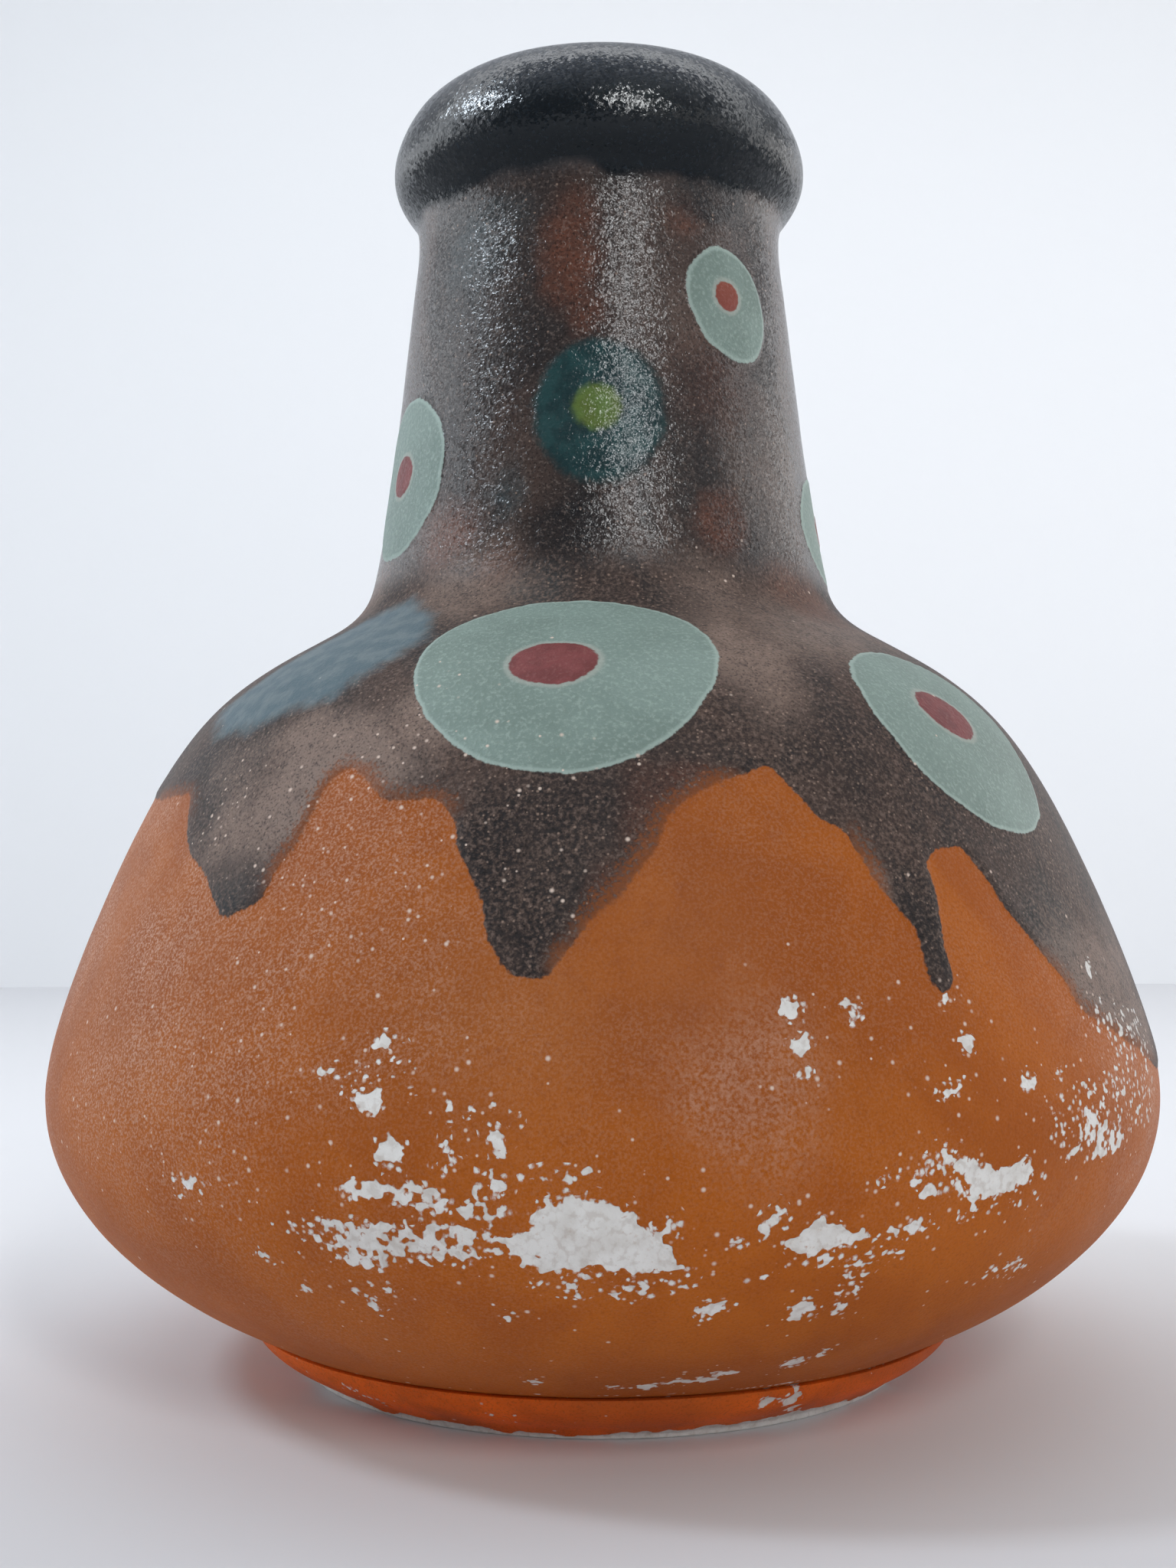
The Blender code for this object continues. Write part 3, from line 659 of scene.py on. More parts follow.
def make_foot():
    lp = Loop()
    lp.add(FOOT_SIDE[::6], OUTER)
    lp.add([(52.5, 7.72), (46.0, 7.72), (40.4, 7.72)], HIDDEN)
    lp.add(dense([(40.3, 7.6), (40.1, 4.8), (39.6, 1.6), (39.15, 0.6), (39.25, 0.15), (39.6, 0.0)], 0.6)[:-1], UNDER)
    return lathe("foot_ring_glazed", lp, 720, foot_relief)


def make_bowl():
    lp = Loop()
    lp.add(dense([(1.0, 4.6), (20.0, 4.6), (39.7, 4.6)], 2.5), UNDER)
    lp.add([(40.05, 4.75), (40.05, 7.76), (46.0, 7.76), (53.0, 7.76)], HIDDEN)
    lp.add([(54.1, 7.78), (54.6, 7.85)], OUTER, [0.0, 0.0])
    pts, s = outer_run(0.0, S_BOWL, 100)
    lp.add(pts, OUTER, s)
    t = mid_wall(BOWL_TOP)
    lp.add([(t, BOWL_TOP), (t, BOWL_TOP + TONGUE)], HIDDEN)
    lp.add(inner_run(13.2, BOWL_TOP + TONGUE, 9)[::-1], INNER)
    lp.add(dense([(50.4, 12.2), (47.5, 11.7), (44.0, 11.35), (41.0, 11.2), (20.0, 11.2), (1.0, 11.2)], 4.0), INNER)
    return lathe("lower_bowl_glazed", lp, 800, body_relief, axis_ends=True)


def make_shoulder():
    lp = Loop()
    t0, t1 = mid_wall(BOWL_TOP), mid_wall(NECK_BASE)
    lp.add([(t0, BOWL_TOP + TONGUE), (t0, BOWL_TOP)], HIDDEN)
    pts, s = outer_run(S_BOWL, S_NECK, 112)
    lp.add(pts, OUTER, s)
    lp.add([(t1, NECK_BASE), (t1, NECK_BASE + TONGUE)], HIDDEN)
    lp.add(inner_run(BOWL_TOP + TONGUE, NECK_BASE + TONGUE, 10)[::-1], INNER)
    return lathe("shoulder_glazed", lp, 800, body_relief)


def make_neck():
    lp = Loop()
    t0, t1 = mid_wall(NECK_BASE), mid_wall(NECK_TOP)
    lp.add([(t0, NECK_BASE + TONGUE), (t0, NECK_BASE)], HIDDEN)
    pts, s = outer_run(S_NECK, S_END, 98)
    lp.add(pts, OUTER, s)
    lp.add([(t1, NECK_TOP), (t1, NECK_TOP + TONGUE), (23.2, NECK_TOP + TONGUE)], HIDDEN)
    lp.add(inner_run(NECK_BASE + TONGUE, NECK_TOP - 1.0, 10)[::-1], INNER)
    return lathe("neck_glazed", lp, 800, body_relief)


def make_rim():
    lp = Loop()
    t0 = mid_wall(NECK_TOP)
    lp.add([(t0, NECK_TOP + TONGUE), (t0, NECK_TOP)], HIDDEN)
    r, z, _, _ = body_point(np.array([S_END]))
    out = dense(np.concatenate([
        [(r[0], z[0])],
        SIDE[SIDE[:, 1] > NECK_TOP + 0.03],
        roll(20.9, 199.4, 18.0, 192.0, 2.0, 40, False)[1:],
    ]), 0.5)
    lp.add(out, OUTER, S_END + arclen(out))
    throat = spline([(18.0, 192.0), (18.6, 187.6), (21.2, 183.2), (23.1, 180.1)], 1.2)
    lp.add(throat[1:], INNER)
    return lathe("rim_glazed", lp, 800, body_relief)


# ---------------------------------------------------------------- materials
class Net:
    """Small helper for shader graphs."""

    def __init__(self, name):
        self.mat = bpy.data.materials.new(name)
        self.mat.use_nodes = True
        self.nt = self.mat.node_tree
        self.nt.nodes.clear()
        self.out = self.nt.nodes.new("ShaderNodeOutputMaterial")
        self.bsdf = self.nt.nodes.new("ShaderNodeBsdfPrincipled")
        self.nt.links.new(self.bsdf.outputs[0], self.out.inputs[0])
        self.co = self.nt.nodes.new("ShaderNodeTexCoord").outputs["Object"]

    def put(self, sock, v):
        if isinstance(v, bpy.types.NodeSocket):
            self.nt.links.new(v, sock)
        elif isinstance(v, (tuple, list)):
            sock.default_value = (*v, 1.0) if len(v) == 3 and len(sock.default_value) == 4 else v
        else:
            sock.default_value = v

    def attr(self, name):
        n = self.nt.nodes.new("ShaderNodeAttribute")
        n.attribute_name = name
        return n.outputs["Fac"]

    def math(self, op, a, b=0.0, clamp=False):
        n = self.nt.nodes.new("ShaderNodeMath")
        n.operation = op
        n.use_clamp = clamp
        self.put(n.inputs[0], a)
        self.put(n.inputs[1], b)
        return n.outputs[0]

    def step(self, v, a, b, c=0.0, d=1.0):
        n = self.nt.nodes.new("ShaderNodeMapRange")
        n.interpolation_type = "SMOOTHSTEP"
        for i, q in enumerate((v, a, b, c, d)):
            self.put(n.inputs[i], q)
        return n.outputs[0]

    def mix(self, fac, a, b, mode="MIX"):
        n = self.nt.nodes.new("ShaderNodeMix")
        n.data_type = "RGBA"
        n.blend_type = mode
        self.put(n.inputs["Factor"], fac)
        self.put(n.inputs[6], a)
        self.put(n.inputs[7], b)
        return n.outputs[2]

    def blend(self, fac, a, b):
        n = self.nt.nodes.new("ShaderNodeMix")
        n.data_type = "FLOAT"
        self.put(n.inputs["Factor"], fac)
        self.put(n.inputs[2], a)
        self.put(n.inputs[3], b)
        return n.outputs[0]

    def noise(self, size_mm, detail=2.0, rough=0.5, distort=0.0, vec=None):
        n = self.nt.nodes.new("ShaderNodeTexNoise")
        self.put(n.inputs["Vector"], self.co if vec is None else vec)
        n.inputs["Scale"].default_value = 1.0 / (size_mm * MM)
        n.inputs["Detail"].default_value = detail
        n.inputs["Roughness"].default_value = rough
        n.inputs["Distortion"].default_value = distort
        return n.outputs["Fac"]

    def moved(self, offset, scale=(1, 1, 1)):
        n = self.nt.nodes.new("ShaderNodeMapping")
        self.put(n.inputs["Vector"], self.co)
        n.inputs["Location"].default_value = offset
        n.inputs["Scale"].default_value = scale
        return n.outputs[0]

    def cells(self, size_mm, vec=None):
        n = self.nt.nodes.new("ShaderNodeTexVoronoi")
        n.feature = "F1"
        self.put(n.inputs["Vector"], self.co if vec is None else vec)
        n.inputs["Scale"].default_value = 1.0 / (size_mm * MM)
        sep = self.nt.nodes.new("ShaderNodeSeparateColor")
        self.nt.links.new(n.outputs["Color"], sep.inputs[0])
        return n.outputs["Distance"], sep.outputs[0], sep.outputs[1]

    def facets(self, normal, size_mm, amount):
        """Normal with each tiny cell tilted its own way."""
        n = self.nt.nodes.new("ShaderNodeTexVoronoi")
        n.feature = "F1"
        self.put(n.inputs["Vector"], self.co)
        n.inputs["Scale"].default_value = 1.0 / (size_mm * MM)
        ops = []
        for op in ("SUBTRACT", "SCALE", "ADD", "NORMALIZE"):
            ops.append(self.nt.nodes.new("ShaderNodeVectorMath"))
            ops[-1].operation = op
        self.nt.links.new(n.outputs["Color"], ops[0].inputs[0])
        ops[0].inputs[1].default_value = (0.5, 0.5, 0.5)
        self.nt.links.new(ops[0].outputs[0], ops[1].inputs[0])
        self.put(ops[1].inputs["Scale"], amount)
        self.nt.links.new(normal, ops[2].inputs[0])
        self.nt.links.new(ops[1].outputs[0], ops[2].inputs[1])
        self.nt.links.new(ops[2].outputs[0], ops[3].inputs[0])
        return ops[3].outputs[0]

    def bump(self, height, strength, dist_mm, below=None):
        n = self.nt.nodes.new("ShaderNodeBump")
        n.inputs["Strength"].default_value = strength
        n.inputs["Distance"].default_value = dist_mm * MM
        self.put(n.inputs["Height"], height)
        if below is not None:
            self.nt.links.new(below, n.inputs["Normal"])
        return n.outputs[0]


ORANGE, ORANGE_DEEP, ORANGE_PALE = (0.374, 0.099, 0.013), (0.315, 0.078, 0.010), (0.40, 0.130, 0.034)
# PINK_GRAIN_SHEEN is the pale pink of the fine grains on the orange, which also paint its sheen
PINK_GRAIN_SHEEN, WHITE_FLECK = (0.60, 0.36, 0.26), (0.80, 0.64, 0.54)
DARK, BROWN, BLACK = (0.034, 0.028, 0.027), (0.070, 0.046, 0.038), (0.014, 0.014, 0.016)
RUST, TAN, SEA = (0.170, 0.058, 0.032), (0.295, 0.210, 0.170), (0.038, 0.072, 0.082)
PALE, PALE_DEEP = (0.225, 0.300, 0.265), (0.185, 0.250, 0.218)
RED, RED_DEEP = (0.215, 0.053, 0.053), (0.165, 0.038, 0.038)
TEAL, TEAL_DEEP, LIME = (0.018, 0.064, 0.066), (0.010, 0.038, 0.042), (0.105, 0.150, 0.034)
CLAY, CLAY_DEEP = (0.84, 0.82, 0.79), (0.72, 0.685, 0.645)
# foot red-orange, painted bright to stand in for the light bounced up onto the foot
FOOT_RED_BOUNCE_LIT = (0.90, 0.158, 0.013)


def glaze(name, zone):
    g = Net(name)
    fine = g.noise(0.55, 2.0, 0.6)
    grain = g.noise(0.34, 1.0, 0.5, vec=g.moved((0.31, 0.12, 0.07)))
    mid = g.noise(3.2, 3.0, 0.55)
    broad = g.noise(17.0, 3.0, 0.55, 0.4)
    huge = g.noise(42.0, 2.0, 0.5, 0.3, vec=g.moved((0.5, 0.2, 0.9)))
    xyz = g.nt.nodes.new("ShaderNodeSeparateXYZ")
    g.put(xyz.inputs[0], g.co)
    right = g.step(xyz.outputs[0], -0.075, 0.015)

    # burnt orange ground; the foot's red-orange and its variants are painted brighter than the body's orange, standing
    # in for light bounced up from the table
    ground = FOOT_RED_BOUNCE_LIT if zone == "foot" else ORANGE
    base = g.mix(g.step(broad, 0.38, 0.66), ground, ORANGE_DEEP if zone != "foot" else (0.60, 0.112, 0.016))
    base = g.mix(g.math("MULTIPLY", g.step(huge, 0.45, 0.75), 0.55), base, ORANGE_PALE if zone != "foot" else (0.60, 0.16, 0.03))
    base = g.mix(g.math("MULTIPLY", g.step(mid, 0.52, 0.80), 0.40), base, (0.26, 0.066, 0.018) if zone != "foot" else (0.45, 0.100, 0.020))
    # brighter, deeper orange low on the belly and towards the right: painted light, standing in for light bounced up
    # from the table and falling on the right side
    if zone != "foot":
        painted_light_glow = g.step(xyz.outputs[2], 0.030, 0.060, 0.85, 0.0)
        painted_light_glow = g.math("MAXIMUM", painted_light_glow, g.step(xyz.outputs[0], 0.005, 0.055, 0.0, 0.60))
        base = g.mix(painted_light_glow, base, g.mix(g.step(broad, 0.38, 0.66), (0.50, 0.128, 0.010), (0.43, 0.104, 0.009)))
    base = g.mix(g.math("MULTIPLY", g.step(grain, 0.50, 0.72), 0.30), base, (0.235, 0.056, 0.008))
    # pinkish fine grains, stronger towards the left and along the right edge, where they paint the satin sheen as well
    # as real grains; the placed pink clouds paint the soft sheen on the belly
    pink_grains_and_sheen = g.math("MULTIPLY", g.step(g.noise(0.36, 2.0, 0.6, vec=g.moved((0.77, 0.31, 0.54))), 0.39, 0.72), g.math("ADD", g.blend(right, 0.88, 0.20), g.step(xyz.outputs[0], 0.050, 0.078, 0.0, 0.60)))
    pink_grains_and_sheen = g.math("ADD", pink_grains_and_sheen, g.math("MULTIPLY", g.math("MULTIPLY", g.attr("c_pink_grains_and_sheen"), 0.62), g.step(g.noise(0.50, 2.0, 0.6, vec=g.moved((0.19, 0.83, 0.37))), 0.36, 0.66)))
    pink_grains_and_sheen = g.math("MULTIPLY", pink_grains_and_sheen, g.step(g.noise(26.0, 2.0, 0.6, vec=g.moved((0.2, 0.7, 0.1))), 0.30, 0.62, 0.35, 1.0))
    pink_grains_and_sheen = g.math("MULTIPLY", pink_grains_and_sheen, 0.15 if zone == "foot" else g.step(xyz.outputs[2], 0.020, 0.060, 0.35, 1.0))
    base = g.mix(pink_grains_and_sheen, base, PINK_GRAIN_SHEEN)

    # dark glaze: black to brown, rusty where thin
    d = g.attr("dark")
    ragged = g.math("ADD", d, g.math("MULTIPLY", g.math("SUBTRACT", g.noise(0.9, 2.0, 0.6), 0.5), 0.9))
    thin = g.attr("c_thin")
    is_dark = g.blend(thin, g.step(ragged, -0.16, 0.16),
                      g.step(g.math("ADD", ragged, g.math("MULTIPLY", g.math("SUBTRACT", fine, 0.5), 7.0)), 0.2, 2.6))
    cloud = g.noise(15.0, 4.0, 0.62, 0.8, vec=g.moved((0.13, 0.41, 0.0), (1.0, 1.0, 0.45)))
    torn = g.noise(2.6, 3.0, 0.65, vec=g.moved((0.05, 0.33, 0.71)))
    dark = g.mix(g.step(cloud, 0.38, 0.64), DARK, BROWN)
    haze = g.math("ADD", g.math("MULTIPLY", g.math("SUBTRACT", torn, 0.5), 1.5), g.math("MULTIPLY", g.math("SUBTRACT", fine, 0.5), 1.8))
    for kind, tint, most in (("brown", TAN, 0.80), ("rust", RUST, 0.72), ("teal", SEA, 0.75), ("black", BLACK, 0.90)):
        c = g.attr("c_" + kind)
        amount = g.math("MULTIPLY", c, g.math("ADD", haze, 0.85), clamp=True)
        dark = g.mix(g.math("MULTIPLY", amount, most), dark, tint)
    dark = g.mix(g.math("MULTIPLY", g.step(fine, 0.52, 0.70), 0.50), dark, (0.19, 0.145, 0.125))
    dark = g.mix(g.math("MULTIPLY", g.step(grain, 0.52, 0.70), 0.60), dark, (0.010, 0.009, 0.009))
    low = g.step(xyz.outputs[2], 0.1155, 0.1235, 1.0, 0.0)
    g_dist, g_pick, g_size = g.cells(0.66, vec=g.moved((0.17, 0.29, 0.43)))
    grit = g.math("MULTIPLY", g.math("LESS_THAN", g_pick, g.blend(low, 0.05, 0.26)),
                  g.step(g_dist, g.math("ADD", 0.20, g.math("MULTIPLY", g_size, 0.25)), 0.10, 0.0, 1.0))
    dust = g.math("MULTIPLY", g.step(fine, 0.36, 0.64), g.math("MULTIPLY", low, g.step(broad, 0.30, 0.66, 0.42, 0.20)))
    dust = g.math("MULTIPLY", dust, g.blend(thin, 1.0, 0.35))
    dark = g.mix(dust, dark, (0.215, 0.140, 0.108))
    dark = g.mix(g.math("MULTIPLY", grit, 0.70), dark, (0.35, 0.245, 0.190))
    rim = g.attr("rim")
    black = g.mix(g.math("MULTIPLY", g.step(fine, 0.56, 0.74), 0.30), (0.003, 0.006, 0.009), (0.026, 0.042, 0.060))
    # lighter blue-grey over the top of the rim: painted reflection of the sky overhead
    black = g.mix(g.math("MULTIPLY", g.step(xyz.outputs[2], 0.186, 0.197), g.step(grain, 0.40, 0.66, 0.3, 0.9)), black, (0.036, 0.046, 0.066))
    dark = g.mix(rim, dark, black)
    veil = g.math("MULTIPLY", g.step(ragged, -0.2, 0.4), g.math("MULTIPLY", thin, 0.65))
    colour = g.mix(is_dark, g.mix(veil, base, (0.13, 0.045, 0.020)), dark)
    slate = g.step(g.math("ADD", g.attr("slate"), g.math("MULTIPLY", g.math("SUBTRACT", torn, 0.5), 4.0)), -1.6, 2.6)
    colour = g.mix(g.math("MULTIPLY", slate, 0.85), colour, g.mix(g.step(mid, 0.4, 0.65), (0.118, 0.176, 0.205), (0.178, 0.232, 0.250)))

    # teal and lime, pale and red enamel
    jag = g.math("MULTIPLY", g.math("SUBTRACT", g.noise(0.8, 2.0, 0.6, vec=g.moved((0.9, 0.3, 0.2))), 0.5), 0.55)
    is_teal = g.step(g.math("ADD", g.attr("teal"), g.math("MULTIPLY", jag, 2.6)), -1.0, 1.0)
    is_lime = g.step(g.math("ADD", g.attr("lime"), g.math("MULTIPLY", jag, 2.0)), -0.8, 0.7)
    is_pale = g.step(g.math("ADD", g.attr("pale"), jag), -0.12, 0.12)
    is_red = g.step(g.math("ADD", g.attr("red"), jag), -0.14, 0.14)
    colour = g.mix(g.math("MULTIPLY", is_teal, 0.9), colour, g.mix(g.step(mid, 0.4, 0.65), TEAL_DEEP, TEAL))
    colour = g.mix(is_lime, colour, g.mix(g.step(mid, 0.35, 0.7), LIME, (0.125, 0.200, 0.055)))
    pale = g.mix(g.step(broad, 0.38, 0.64), PALE, PALE_DEEP)
    pale = g.mix(g.math("MULTIPLY", g.step(fine, 0.46, 0.72), 0.35), pale, (0.44, 0.53, 0.48))
    pale = g.mix(g.math("MULTIPLY", g.step(grain, 0.60, 0.78), 0.35), pale, (0.16, 0.19, 0.16))
    red = g.mix(g.step(mid, 0.40, 0.66), RED, RED_DEEP)
    red = g.mix(g.math("MULTIPLY", g.step(xyz.outputs[2], 0.150, 0.165), 0.8), red, (0.27, 0.060, 0.028))
    red = g.mix(g.math("MULTIPLY", g.step(fine, 0.52, 0.74), 0.30), red, (0.36, 0.17, 0.15))
    # lighter ring just inside each pale disc's edge: painted highlight on the raised enamel edge
    disc_edge_highlight = g.math("MULTIPLY", g.step(g.attr("pale"), 0.75, 0.25), 0.55)
    pale = g.mix(disc_edge_highlight, pale, (0.42, 0.52, 0.47))
    halo = g.math("MULTIPLY", g.step(g.attr("red"), -0.9, -0.3), 0.5)
    pale = g.mix(halo, pale, (0.44, 0.45, 0.40))
    colour = g.mix(is_pale, colour, pale)
    colour = g.mix(is_red, colour, red)

    # flaked glaze and stray white flecks
    nib = g.math("MULTIPLY", g.math("SUBTRACT", g.noise(0.7, 3.0, 0.65, vec=g.moved((0.4, 0.8, 0.6))), 0.5), 0.40)
    crumbs = g.math("ADD", g.math("MULTIPLY", g.math("SUBTRACT", g.noise(1.45, 1.0, 0.5, vec=g.moved((0.21, 0.52, 0.83))), 0.5), 1.25), g.math("MULTIPLY", nib, 0.5))
    solid = g.step(g.math("ADD", g.attr("flake"), g.math("MULTIPLY", crumbs, 0.62)), 0.52, 0.57)
    apart, chance, width = g.cells(1.0, vec=g.moved((0.37, 0.05, 0.61)))
    crumb = g.math("LESS_THAN", chance, g.math("MULTIPLY", g.math("SUBTRACT", g.attr("flake"), 0.24), 2.3))
    crumb = g.math("MULTIPLY", crumb, g.step(g.math("ADD", apart, g.math("MULTIPLY", nib, 2.2)), g.math("ADD", 0.24, g.math("MULTIPLY", width, 0.38)), 0.16, 0.0, 1.0))
    flake = g.math("MAXIMUM", solid, crumb)
    dist, pick, size = g.cells(1.35)
    few = {"bowl": 0.030, "foot": 0.03, "shoulder": 0.012}.get(zone, 0.0)
    lots = g.math("ADD", few, g.math("MULTIPLY", g.attr("c_fleck"), 0.62))
    fleck = g.math("MULTIPLY", g.math("LESS_THAN", pick, lots),
                   g.step(dist, g.math("ADD", 0.13, g.math("MULTIPLY", size, 0.20)), 0.07, 0.0, 1.0))
    dist2, pick2, size2 = g.cells(4.2, vec=g.moved((0.11, 0.07, 0.19)))
    nick = g.math("MULTIPLY", g.math("LESS_THAN", pick2, 0.05 if zone in ("bowl", "foot") else 0.012),
                  g.step(g.math("ADD", dist2, g.math("MULTIPLY", nib, 0.25)), g.math("ADD", 0.05, g.math("MULTIPLY", size2, 0.08)), 0.03, 0.0, 1.0))
    clay = g.mix(g.step(mid, 0.35, 0.75), CLAY, CLAY_DEEP)
    clay = g.mix(g.math("MULTIPLY", g.step(fine, 0.60, 0.80), 0.35), clay, (0.50, 0.33, 0.22))
    # clay darker between the crumbs: painted shade in the gaps
    clay = g.mix(g.math("MULTIPLY", g.step(g.math("ADD", apart, g.math("MULTIPLY", nib, 2.5)), 0.50, 0.85), 0.35), clay, (0.50, 0.42, 0.36))
    amount = 0.85 if zone in ("bowl", "foot", "shoulder") else 0.45
    colour = g.mix(g.math("MULTIPLY", fleck, amount), colour, WHITE_FLECK)
    colour = g.mix(g.math("MULTIPLY", nick, amount), colour, clay)
    colour = g.mix(flake, colour, clay)

    # inside: dark glaze over the lip, then bare clay; underneath: bare clay
    inside = g.attr("inside")
    deep = g.math("ADD", xyz.outputs[2], g.math("MULTIPLY", g.math("SUBTRACT", huge, 0.5), 0.05))
    lining = g.mix(g.step(deep, 0.140, 0.165), g.mix(g.step(broad, 0.35, 0.7), (0.30, 0.20, 0.135), (0.21, 0.13, 0.085)), (0.02, 0.02, 0.022))
    colour = g.mix(inside, colour, lining)
    under = g.attr("under")
    bare = g.mix(g.step(broad, 0.40, 0.70), CLAY, (0.60, 0.49, 0.40))
    bare = g.mix(g.math("MULTIPLY", g.step(huge, 0.52, 0.66), 0.6), bare, (0.45, 0.20, 0.09))
    colour = g.mix(under, colour, bare)
    g.put(g.bsdf.inputs["Base Color"], colour)

    # gloss: satin orange, glossier dark glaze, dull clay
    rough = g.blend(is_dark, g.blend(mid, 0.46, 0.62), g.blend(low, g.blend(rim, g.blend(cloud, 0.15, 0.25), 0.21), 0.50))
    rough = g.blend(is_pale, rough, 0.50)
    worn = g.math("MAXIMUM", g.math("MAXIMUM", flake, g.math("MULTIPLY", fleck, 0.8)), g.math("MAXIMUM", inside, under))
    rough = g.blend(worn, rough, 0.90)
    g.put(g.bsdf.inputs["Roughness"], rough)
    g.bsdf.inputs["IOR"].default_value = 1.5
    shine = g.blend(is_dark, 0.12, g.blend(low, g.blend(rim, 0.46, g.step(xyz.outputs[2], 0.181, 0.189, 0.26, 0.80)), 0.12))
    shine = g.blend(is_pale, shine, 0.30)
    g.put(g.bsdf.inputs["Specular IOR Level"], shine)

    pebble = g.math("ADD", g.math("MULTIPLY", fine, 0.65), g.math("MULTIPLY", grain, 0.35))
    pebble = g.math("MULTIPLY", pebble, g.blend(is_dark, 0.55, 1.0))
    pebble = g.math("MULTIPLY", pebble, g.blend(rim, 1.0, 0.62))
    pebble = g.math("SUBTRACT", pebble, g.math("MULTIPLY", flake, 0.5))
    n1 = g.bump(g.noise(6.5, 2.0, 0.5), 0.35, 0.35)
    n2 = g.bump(pebble, 1.0, 0.15, n1)
    g.put(g.bsdf.inputs["Normal"], g.facets(n2, 0.44, g.math("MULTIPLY", is_dark, g.blend(low, g.blend(rim, 0.21, 0.23), 0.06))))
    return g.mat


# ------------------------------------------------------------------- pieces
PIECES = [
    (make_foot, "foot_ring", "foot_glaze", "foot"),
    (make_bowl, "lower_bowl", "orange_glaze", "bowl"),
    (make_shoulder, "shoulder", "drip_glaze", "shoulder"),
    (make_neck, "neck", "mottled_glaze", "neck"),
    (make_rim, "rim", "black_glaze", "rim"),
]
for make, node, slot, zone in PIECES:
    piece = make()
    piece.data.materials.append(glaze(slot + "_look", zone))
    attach(piece, "root")
    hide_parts(node)


# -------------------------------------------------------------------- stage
def plain(name, colour, rough):
    mat = bpy.data.materials.new(name)
    mat.use_nodes = True
    b = mat.node_tree.nodes["Principled BSDF"]
    b.inputs["Base Color"].default_value = (*colour, 1.0)
    b.inputs["Roughness"].default_value = rough
    b.inputs["Specular IOR Level"].default_value = 0.2
    return mat


def strip(name, profile, mat):
    """Flat stage piece drawn sideways from a (y, z) profile."""
    verts, faces = [], []
    for y, z in profile:
        verts += [(-3.5, y, z), (3.5, y, z)]
    for i in range(len(profile) - 1):
        faces.append((2 * i, 2 * i + 1, 2 * i + 3, 2 * i + 2))
    mesh = bpy.data.meshes.new(name)
    mesh.from_pydata(verts, [], faces)
    mesh.materials.append(mat)
    obj = bpy.data.objects.new(name, mesh)
    bpy.context.scene.collection.objects.link(obj)
    return obj


strip("studio_floor", [(-3.0, 0.0), (-1.0, 0.0), (0.0, 0.0), (0.80, 0.0)], plain("studio_table", (0.710, 0.710, 0.730), 0.7))
strip("studio_wall", [(0.80, 0.0), (0.80, 1.0), (0.80, 3.0)], plain("studio_paper", (0.80, 0.81, 0.83), 0.9))


def softbox(name, place, aim, size, power, colour):
    data = bpy.data.lights.new(name, "AREA")
    data.shape = "RECTANGLE"
    data.size, data.size_y = size
    data.energy = power
    data.color = colour
    obj = bpy.data.objects.new(name, data)
    bpy.context.scene.collection.objects.link(obj)
    obj.location = place
    d = np.array(aim, float) - np.array(place, float)
    obj.rotation_euler = (math.atan2(math.hypot(d[0], d[1]), -d[2]), 0.0, math.atan2(d[1], d[0]) - 0.5 * PI)
    return obj


def around(azimuth, elevation, distance, z=0.13):
    a, e = math.radians(azimuth), math.radians(elevation)
    return (distance * math.cos(e) * math.sin(a), -distance * math.cos(e) * math.cos(a), z + distance * math.sin(e))


softbox("pane_left", around(-80, 44, 1.0), (0.0, 0.0, 0.15), (0.15, 0.17), 3.2, (0.80, 0.90, 1.0))
softbox("sky_left", around(-92, 20, 2.0), (0.0, 0.0, 0.12), (1.40, 1.00), 5.6, (0.88, 0.94, 1.0))
softbox("window_right", around(18, 28, 1.0), (0.0, 0.0, 0.13), (0.12, 0.36), 3.3, (0.97, 0.99, 1.0))
softbox("top_soft", (0.05, -0.30, 1.40), (0.0, 0.0, 0.10), (1.6, 1.4), 1.0, (0.86, 0.93, 1.0))
softbox("back_wash", (0.40, 0.10, 0.55), (0.46, 0.80, 0.08), (1.6, 0.5), 4.3, (0.98, 0.99, 1.0))
softbox("low_left", around(-120, 12, 1.1), (0.0, 0.0, 0.02), (1.00, 0.45), 1.9, (0.94, 0.97, 1.0))
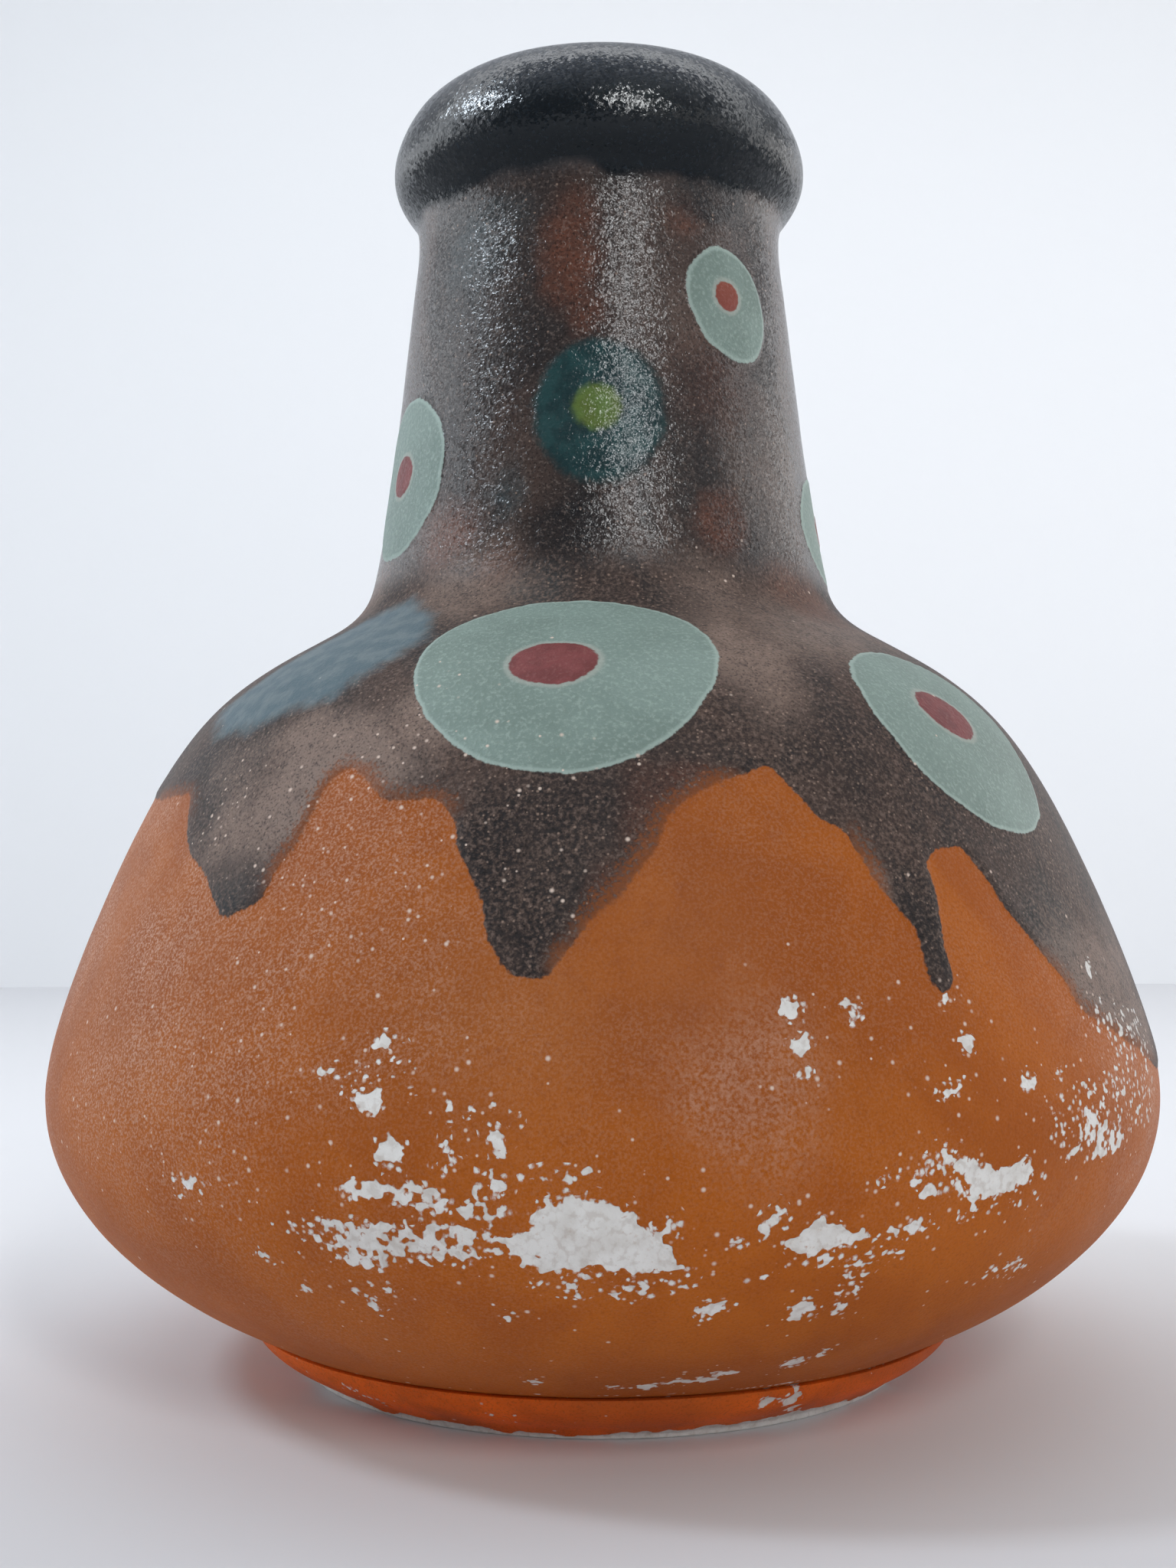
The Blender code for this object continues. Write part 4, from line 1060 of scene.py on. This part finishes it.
softbox("low_right", around(116, 12, 1.1), (0.0, 0.0, 0.02), (1.00, 0.45), 1.9, (1.0, 0.98, 0.96))

softbox("low_front", around(48, 12, 1.8, 0.08), (0.0, 0.0, 0.03), (1.60, 0.40), 1.5, (1.0, 0.99, 0.97))

# soft surroundings, darker on the viewer's side
world = bpy.data.worlds.new("studio")
bpy.context.scene.world = world
world.use_nodes = True
wnt = world.node_tree
w_dir = wnt.nodes.new("ShaderNodeTexCoord")
w_sep = wnt.nodes.new("ShaderNodeSeparateXYZ")
w_map = wnt.nodes.new("ShaderNodeMapRange")
w_map.interpolation_type = "SMOOTHSTEP"
for w_i, w_v in enumerate((-0.75, 0.20, 0.16, 1.10)):
    w_map.inputs[1 + w_i].default_value = w_v
wnt.links.new(w_dir.outputs["Generated"], w_sep.inputs[0])
wnt.links.new(w_sep.outputs[1], w_map.inputs[0])
w_up = wnt.nodes.new("ShaderNodeMapRange")
for w_i, w_v in enumerate((0.0, 0.8, 1.0, 0.4)):
    w_up.inputs[1 + w_i].default_value = w_v
wnt.links.new(w_sep.outputs[2], w_up.inputs[0])
w_all = wnt.nodes.new("ShaderNodeMath")
w_all.operation = "MULTIPLY"
wnt.links.new(w_map.outputs[0], w_all.inputs[0])
wnt.links.new(w_up.outputs[0], w_all.inputs[1])
wnt.links.new(w_all.outputs[0], wnt.nodes["Background"].inputs[1])
wnt.nodes["Background"].inputs[0].default_value = (0.92, 0.95, 1.0, 1.0)
bpy.context.scene.view_settings.view_transform = "Standard"

cam_data = bpy.data.cameras.new("photo_view")
cam_data.sensor_fit = "VERTICAL"
cam_data.sensor_height = 36.0
cam_data.sensor_width = 27.0
cam_data.lens = 36.0 * FOCAL_PX / PHOTO_H
cam_data.clip_start = 0.01
cam = bpy.data.objects.new("photo_view", cam_data)
bpy.context.scene.collection.objects.link(cam)
cam.location = (CAM_X * MM, -CAM_DIST * MM, CAM_HEIGHT * MM)
cam.rotation_euler = (0.5 * PI + CAM_UP, CAM_ROLL, 0.0)
bpy.context.scene.camera = cam

# ------------------------------------------------------------------- finish
bpy.context.view_layer.update()
